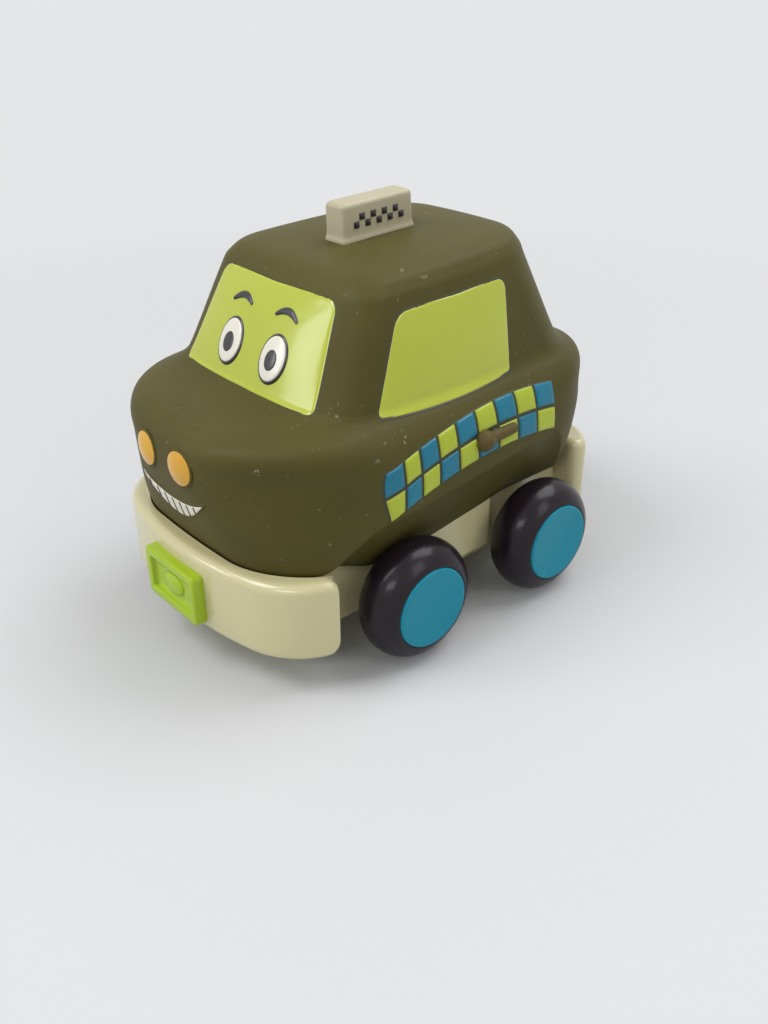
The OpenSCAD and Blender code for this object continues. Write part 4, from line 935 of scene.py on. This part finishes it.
def bumper_path(depth, end_r, run=True):
    """Outer line of a bumper as (centre, direction, radius); with end_r its ends turn into the wells."""
    end = -math.degrees(math.asin((CORNER_Y - depth + end_r) / (BUMPER_R - end_r)))
    half = [((0.0, BUMPER_SWEEP), a, BUMPER_SWEEP) for a in np.linspace(-90, CORNER_TURN, SWEEP_STOPS)]
    closer = 1 - (1 - np.linspace(0, 1, CORNER_STOPS)[1:]) ** CORNER_EASE
    half += [((CORNER_X, CORNER_Y), a, BUMPER_R) for a in lerp(CORNER_TURN, end, closer)]
    if end_r:
        x = CORNER_X + (BUMPER_R - end_r) * math.cos(math.radians(end))
        half += [((x, depth - end_r), a, end_r) for a in np.linspace(end, 90, END_STOPS)[1:]]
        if run:
            inwards = np.linspace(x, SPINE_HW - WALL_T, RUN_STOPS)[1:]
            half += [((w, depth - end_r), 90, end_r) for w in inwards]
    path = [((-c[0], c[1]), 180 - a, r) for c, a, r in half[:0:-1]] + half
    return [(c, math.radians(a), r) for c, a, r in path]


def path_point(stop, inset):
    """Point of a bumper's path, inset from its outer line."""
    (cx, cy), a, r = stop
    return cx + (r - inset) * math.cos(a), cy + (r - inset) * math.sin(a)


def end_cut(stop, depth, end_r):
    """How far the lower corner of an end that doesn't turn is rounded off at a stop of the path."""
    return 0.0 if end_r else float(corner_in(depth - path_point(stop, 0.0)[1], CORNER_ROUND))


def bumper_section(low_z, top_z, flange):
    """Section as (distance from the outer line, height) without repeated points."""
    section = arc(-BUMPER_EDGE, low_z + BUMPER_EDGE, BUMPER_EDGE, -90, 0, 8)
    section += arc(-BUMPER_EDGE, top_z - BUMPER_EDGE, BUMPER_EDGE, 0, 90, 8)
    section += arc(-flange + INNER_ROUND, top_z - INNER_ROUND, INNER_ROUND, 90, 180, 4)
    section += [(-flange, top_z - FLANGE_T), (-BUMPER_WALL, top_z - FLANGE_T - 0.1), (-BUMPER_WALL, low_z)]
    return np.array([p for k, p in enumerate(section) if not np.allclose(p, section[k - 1])])


def bumper(depth, top_z, flange, end_r):
    """A bumper with its middle at the origin; a turned end drops to the rim under the body."""
    rings = []
    for stop in bumper_path(depth, end_r):
        cut = end_cut(stop, depth, end_r)
        top = top_z - 0.5 * cut
        if stop[2] == end_r:
            x, y = path_point(stop, BUMPER_WALL)
            top = clear_top(abs(x), REAR_Y - y, top_z)
        section = bumper_section(FLOOR_Z + cut, top, flange)
        x, y = path_point(stop, -section[:, 0])
        rings.append(np.column_stack([x, y, section[:, 1]]))
    ends = []
    for ring, inner in ((rings[0], rings[1]), (rings[-1], rings[-2])):
        middle = ring.mean(axis=0)
        out = unit(middle - inner.mean(axis=0))
        ends.append(middle + (ring - middle) * END_SHRINK + out * END_SWELL)
    return loft([ends[0]] + rings + [ends[1]], flip=True)


def place(part, y, rear):
    """Moves a part of a bumper's own frame to y, turned round for the rear."""
    verts, faces = part
    verts = np.column_stack([verts[:, 0], y + verts[:, 1] * (-1 if rear else 1), verts[:, 2]])
    return verts, [f[::-1] for f in faces] if rear else faces


def slab(outline, low_z, top_z, edge=0.25):
    """An upright slab of an outline given counter-clockwise, with its edges eased."""
    p = np.array(outline, float)
    left_turn = np.array([[0, 1], [-1, 0]])
    before, after = unit(p - np.roll(p, 1, 0)) @ left_turn, unit(np.roll(p, -1, 0) - p) @ left_turn
    inward = (before + after) / np.maximum(1 + (before * after).sum(axis=1, keepdims=True), 0.4)
    levels = ((edge, low_z), (0, low_z + edge), (0, top_z - edge), (edge, top_z))
    return loft([np.column_stack([p + inward * inset, np.full(len(p), z)]) for inset, z in levels])


def walls():
    """Walls on the left: the long one with its sill, its part under the sill, one before the front wheel."""
    inner, outer, sill = SPINE_HW - WALL_T, SPINE_HW, SPINE_HW + SILL_OUT
    front, rear, thin = FRONT_WELL - WALL_T, REAR_WELL + WALL_T, SPINE_HW - FACE_GAP
    long_wall = [(inner, front), (outer, front), (outer, SILL_FRONT - SILL_SLOPE),
                 (sill - 0.8, SILL_FRONT - 1.2), (sill, SILL_FRONT + 0.6), (sill, SILL_REAR),
                 (outer, SILL_REAR), (outer, rear), (inner, rear)]
    low_wall = [(inner, front), (thin, front), (thin, rear), (inner, rear)]
    reach, back = BUMPER_R - BUMPER_WALL + 0.5, FRONT_DEPTH - WALL_T
    back_x, front_x = (CORNER_X + math.sqrt(reach**2 - (CORNER_Y - y) ** 2) for y in (back, FRONT_DEPTH))
    well = [(inner, back), (back_x, back), (front_x, FRONT_DEPTH), (inner, FRONT_DEPTH)]
    return [slab(long_wall, SILL_LOW_Z, RIM_Z), slab(low_wall, FLOOR_Z + FACE_GAP, SILL_LOW_Z + 1),
            place(slab(well, FLOOR_Z + FLOOR_T - 0.1, RIM_Z), BUMPER_FRONT, False)]


def boss(y):
    """A bearing for an axle on the left wall."""
    profile = [(BOSS_BORE, BOSS_OUT), (BOSS_R - BOSS_EDGE, BOSS_OUT), (BOSS_R, BOSS_OUT - BOSS_EDGE),
               (BOSS_R, BOSS_IN), (BOSS_BORE, BOSS_IN)]
    verts, faces = turned(profile, BOSS_ROUND)
    return verts + (0, y, AXLE_Z), faces


def floor_half():
    """Left half of the floor's outline from the front middle round to the rear middle."""
    front, rear = [], []
    for points, depth, y, sign, end_r in ((front, FRONT_DEPTH, BUMPER_FRONT, 1, 0.0),
                                          (rear, REAR_DEPTH, REAR_Y, -1, END_R)):
        path = bumper_path(depth, end_r)
        for stop in path[len(path) // 2:]:
            px, py = path_point(stop, FLOOR_IN + end_cut(stop, depth, end_r))
            points.append((px, y + sign * py))
    rear = rear[:-1]
    return front + [(FLOOR_SIDE, FRONT_WELL), (FLOOR_SIDE, rear[-1][1])] + rear[::-1]


def ledge(depth, y, rear, inset, top_z, end_r):
    """Flat ledge from a bumper's top to a gap before the body's skin; a turned end's wall closes it."""
    sign = -1 if rear else 1
    c = np.linspace(-CELLS, CELLS, 1441)
    v = np.full(len(c), share_at(top_z))
    line, out = skin(c, v)[:, :2], skin_normal(c, v)[:, :2]
    end_y = y + sign * (depth - inset)
    end_x = body_half(end_y, top_z) - LEDGE_SHUT if end_r else 0.0
    flat_z, edge_z, low_z = top_z - LEDGE_LOW, top_z - LEDGE_LOW - LEDGE_ROUND, top_z - LEDGE_DEEP
    rows = []
    for stop in bumper_path(depth, end_r, run=False):
        px, py = path_point(stop, inset)
        p = np.array([px, y + sign * py])
        near = np.argmin(np.linalg.norm(line - p, axis=1))
        q = line[near] + LEDGE_GAP * out[near]
        if end_r and (line[near] - LEDGE_SHUT * out[near])[1] < end_y:
            q = np.array([math.copysign(end_x, px), end_y])
        far = float(np.linalg.norm(p - q))
        back = q + (p - q) / max(far, 1e-6) * min(LEDGE_ROUND, 0.4 * far)
        rows.append([(*p, flat_z), (*lerp(p, q, 0.5), flat_z), (*back, flat_z), (*q, edge_z), (*q, low_z)])
    rows = np.array(rows)
    return rows.reshape(-1, 3), grid_faces(rows.shape[0], rows.shape[1], flip=not rear)


def make_chassis():
    bumpers = [place(bumper(FRONT_DEPTH, BUMPER_TOP, BUMPER_FLANGE, 0.0), BUMPER_FRONT, False),
               place(bumper(REAR_DEPTH, REAR_TOP, BUMPER_WALL, END_R), REAR_Y, True)]
    tray = piece("bumpers", *join(bumpers), CREAM, slot="chassis_cream", crease=40)
    half = floor_half()
    outline = half + [(-x, y) for x, y in half[::-1] if x > 0.01]
    parts = both_sides(walls())
    parts.append(slab(outline, FLOOR_Z, FLOOR_Z + FLOOR_T))
    parts += both_sides([boss(FRONT_AXLE_Y), boss(REAR_AXLE_Y)])
    parts += [ledge(FRONT_DEPTH, BUMPER_FRONT, False, FRONT_LEDGE_IN, BUMPER_TOP, 0.0),
              ledge(REAR_DEPTH, REAR_Y, True, REAR_LEDGE_IN, REAR_TOP, END_R)]
    spine = piece("chassis_pan", *join(parts), CREAM, slot="chassis_cream", crease=35)
    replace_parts(tray, "chassis_tray")
    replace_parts(spine, "chassis_tray")


# Number plate: a frame on the bumper's curve round a sunk field with an oval dome
PLATE_HW, PLATE_HH, PLATE_FRAME, PLATE_SUNK = 11.0, 6.8, 2.4, 1.3
PLATE_Z, PLATE_BACK = FLOOR_Z + BUMPER_EDGE + PLATE_HH + 0.2, 2.58
# Inset and depth of the frame's rings behind the front
PLATE_RINGS = ((0.0, 0.55), (0.16, 0.16), (0.55, 0.0), (PLATE_FRAME - 0.45, 0.0),
               (PLATE_FRAME - 0.12, 0.12), (PLATE_FRAME, 0.4), (PLATE_FRAME + 0.05, PLATE_SUNK - 0.3),
               (PLATE_FRAME + 0.3, PLATE_SUNK), (PLATE_FRAME + 2.2, PLATE_SUNK))
DOME_HW, DOME_HH, DOME_ROUND = 4.4, 2.9, 48
# Share of the dome's half sizes and height over the field
DOME_RINGS = ((1.0, -0.1), (1.0, 0.15), (0.94, 0.42), (0.8, 0.66), (0.55, 0.86), (0.28, 0.94), (0.02, 0.96))


def plate_ring(inset, depth, curved=False):
    x, z = rounded_rect(PLATE_HW - inset, PLATE_HH - inset, max(1.3 - 0.35 * inset, 0.35), 6).T
    curve = BUMPER_SWEEP - np.sqrt(BUMPER_SWEEP**2 - x**2) if curved else 0 * x
    return np.column_stack([x, FRONT_Y + depth + curve, PLATE_Z + z])


def make_plate():
    rings = [plate_ring(0.0, PLATE_BACK, curved=True)]
    rings += [plate_ring(inset, depth) for inset, depth in PLATE_RINGS]
    o = piece("plate_frame", *loft(rings, cap_first=False), PLATE, slot="plate_lime", crease=50)
    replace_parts(o, "number_plate")
    a = circle(DOME_ROUND)
    dome = []
    for k, height in DOME_RINGS:
        y = np.full(DOME_ROUND, FRONT_Y + PLATE_SUNK - height)
        dome.append(np.column_stack([DOME_HW * k * np.cos(a), y, PLATE_Z + DOME_HH * k * np.sin(a)]))
    piece("plate_dome", *loft(dome, cap_first=False), PLATE, slot="plate_lime")


# Wheels: profiles of (radius, x) from the outside face inwards
DISC_HW, TYRE_R, SECTION_R, DISC_R, BARREL_R = 47.0, 15.5, 7.1, 10.5, 7.5
TYRE_MID_R, TYRE_X, CORE_IN = TYRE_R - SECTION_R, DISC_HW - SECTION_R, DISC_HW - 2 * SECTION_R + 0.3
BARREL_WALL, LIP_OUT, HUB_R, HUB_BORE, DISC_T = 1.7, 1.5, 3.5, 1.52, 3.7
# Two fine grooves beside the tyre's crown: angle from it, half width, depth; the crown between stays plain
GROOVE_AT, GROOVE_HW, GROOVE_D, CROWN_HW, CROWN_FILL = 0.075, 0.03, 0.05, 0.025, 0.10
TYRE_END, TYRE_STEPS, WHEEL_ROUND = -math.pi * 0.86, 84, 160


def tyre_profile():
    start = math.acos((DISC_R - TYRE_MID_R) / SECTION_R)
    side_x = TYRE_X + SECTION_R * math.sin(start)
    points = [(DISC_R - 0.02, DISC_HW - 2.0), (DISC_R + 0.02, side_x - 0.5), (DISC_R + 0.1, side_x - 0.16)]
    for a in np.linspace(start - 0.04, TYRE_END, TYRE_STEPS):
        crown = CROWN_FILL * math.exp(-((a / CROWN_HW) ** 2))
        groove = GROOVE_D * math.exp(-(((abs(a) - GROOVE_AT) / GROOVE_HW) ** 2))
        r = SECTION_R + min(crown - groove, 0.0)
        points.append((TYRE_MID_R + r * math.cos(a), TYRE_X + r * math.sin(a)))
    return points + [(BARREL_R + LIP_OUT - 0.1, CORE_IN + 0.6)]


def core_profile():
    back = DISC_HW - DISC_T
    lip = BARREL_R + LIP_OUT
    inner = BARREL_R - BARREL_WALL
    face = [(POLE, 0.45), (2.6, 0.45), (3.2, 0.4), (DISC_R - 1.5, 0.12), (DISC_R - 0.75, 0.04),
            (DISC_R - 0.4, 0.06), (DISC_R - 0.18, 0.2), (DISC_R - 0.08, 0.45), (DISC_R - 0.06, 1.9),
            (BARREL_R, 2)]
    barrel = [(BARREL_R, CORE_IN + 1.3), (lip, CORE_IN + 1.2), (lip - 0.1, CORE_IN),
              (inner, CORE_IN), (inner, back)]
    hub = [(HUB_R, back), (HUB_R, CORE_IN), (HUB_BORE, CORE_IN), (HUB_BORE, back)]
    return [(r, DISC_HW - depth) for r, depth in face] + barrel + hub


def make_wheels():
    tyre_verts, tyre_faces = turned(tyre_profile(), WHEEL_ROUND)
    tyre = (tyre_verts, tyre_faces[:-2])
    core = turned(core_profile(), WHEEL_ROUND)
    for end, y, body in (("f", FRONT_AXLE_Y, "front_wheelset"), ("r", REAR_AXLE_Y, "rear_wheelset")):
        for side in ("l", "r"):
            for what, part, material, slot in (("tyre_", tyre, TYRE, "tyre_black"),
                                               ("wheel_core_", core, DISC, "wheel_blue")):
                part = (part[0] + (0, y, AXLE_Z), part[1])
                if side == "r":
                    part = mirrored(part)
                o = piece(what + end + side + "_look", *part, material, body, slot, 45)
                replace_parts(o, what + end + side)


# The pieces inside keep their CAD meshes and take a finish
INSIDE = {"chassis_deck": DECK, "deck_screws": STEEL, "front_axle": STEEL, "rear_axle": STEEL,
          "axle_gear": GEAR_WHITE, "motor_case_left": CASE, "motor_case_right": CASE,
          "idler_gear": GEAR_AMBER, "spring_gear": GEAR_AMBER, "mainspring": SPRING, "motor_screws": STEEL}

make_body()
make_windows()
make_checks()
make_handles()
make_face()
make_lamps()
make_sign()
make_chassis()
make_plate()
make_wheels()
for name, material in INSIDE.items():
    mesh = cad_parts[name].data
    mesh.materials.clear()
    mesh.materials.append(material)

# Stage, in metres: pale floor that runs into a backdrop of one colour, soft lights, camera
FLOOR_HALF, PLAIN_FROM, PLAIN_AT = 6.0, 0.11, 0.42
BACKDROP = (0.785, 0.79, 0.80, 1.0)
PAPER, PAPER_SHADE = (0.57, 0.575, 0.58, 1.0), (0.55, 0.555, 0.56, 1.0)
SKY, SKY_STRENGTH = (0.94, 0.96, 1.0, 1.0), 0.42
AIM, LOW_AIM = (0, 0, 0.05), (0, 0, 0.06)
LIGHTS = (
    # Name, place, target, size, power
    ("key", (-0.22, -0.48, 0.76), AIM, (0.45, 0.45), 3.9),
    ("top", (0.12, 0.45, 0.82), AIM, (0.6, 0.6), 4.6),
    ("side", (0.74, 0.18, 0.55), AIM, (0.3, 0.5), 1.1),
    ("front", (0.42, -0.70, 0.56), AIM, (0.4, 0.22), 1.5),
    ("low", (-0.50, -0.72, 0.39), LOW_AIM, (0.22, 0.24), 0.9),
)
FOCAL_PX, PICTURE_PX, SENSOR_W = 1006.36, 768, 36.0
EYE = (0.188476, -0.155226, 0.154065)
RIGHT, UP, BEHIND = (0.65728, 0.75362, -0.00619), (-0.36819, 0.32827, 0.86987), (0.65758, -0.56947, 0.49324)


def make_floor():
    h = FLOOR_HALF
    mesh = bpy.data.meshes.new("floor")
    mesh.from_pydata([(-h, -h, 0), (h, -h, 0), (h, h, 0), (-h, h, 0)], [], [(0, 1, 2, 3)])
    floor = bpy.data.objects.new("floor", mesh)
    bpy.context.scene.collection.objects.link(floor)
    m = Finish("floor_paper")
    m.set(Base_Color=m.mix(m.noise(3.0) * 0.3, PAPER, PAPER_SHADE), Roughness=0.6)
    away = m.node("ShaderNodeVectorMath", {"operation": "LENGTH"}, {0: m.position()}, "Value")
    plain = m.node("ShaderNodeEmission", {}, {"Color": BACKDROP, "Strength": 1.0})
    lit = Socket(m.tree, m.shader.outputs[0])
    cover = m.mix_shaders(away.ramp(PLAIN_FROM, PLAIN_AT) * m.seen(), lit, plain)
    feed(m.tree.nodes["Material Output"].inputs[0], cover)
    mesh.materials.append(m.material)


def make_world():
    world = bpy.data.worlds.new("studio")
    bpy.context.scene.world = world
    world.use_nodes = True
    sky = Nodes(world.node_tree)
    lighting = sky.node("ShaderNodeBackground", {}, {"Color": SKY, "Strength": SKY_STRENGTH})
    backdrop = sky.node("ShaderNodeBackground", {}, {"Color": BACKDROP, "Strength": 1.0})
    feed(sky.tree.nodes["World Output"].inputs[0], sky.mix_shaders(sky.seen(), lighting, backdrop))


def softbox(name, where, target, size, power):
    light = bpy.data.lights.new(name, "AREA")
    light.shape = "RECTANGLE"
    light.size, light.size_y = size
    light.energy = power
    o = bpy.data.objects.new(name, light)
    o.location = Vector(where)
    o.rotation_euler = (Vector(target) - Vector(where)).to_track_quat("-Z", "Y").to_euler()
    bpy.context.scene.collection.objects.link(o)


def make_camera():
    camera = bpy.data.cameras.new("camera")
    camera.sensor_fit, camera.sensor_width = "HORIZONTAL", SENSOR_W
    camera.lens = SENSOR_W * FOCAL_PX / PICTURE_PX
    camera.clip_start, camera.clip_end = 0.01, 20
    o = bpy.data.objects.new("camera", camera)
    o.matrix_world = Matrix([[RIGHT[k], UP[k], BEHIND[k], EYE[k]] for k in range(3)] + [[0, 0, 0, 1]])
    bpy.context.scene.collection.objects.link(o)
    bpy.context.scene.camera = o


make_floor()
make_world()
for light in LIGHTS:
    softbox(*light)
make_camera()
bpy.context.scene.view_settings.view_transform = "Standard"
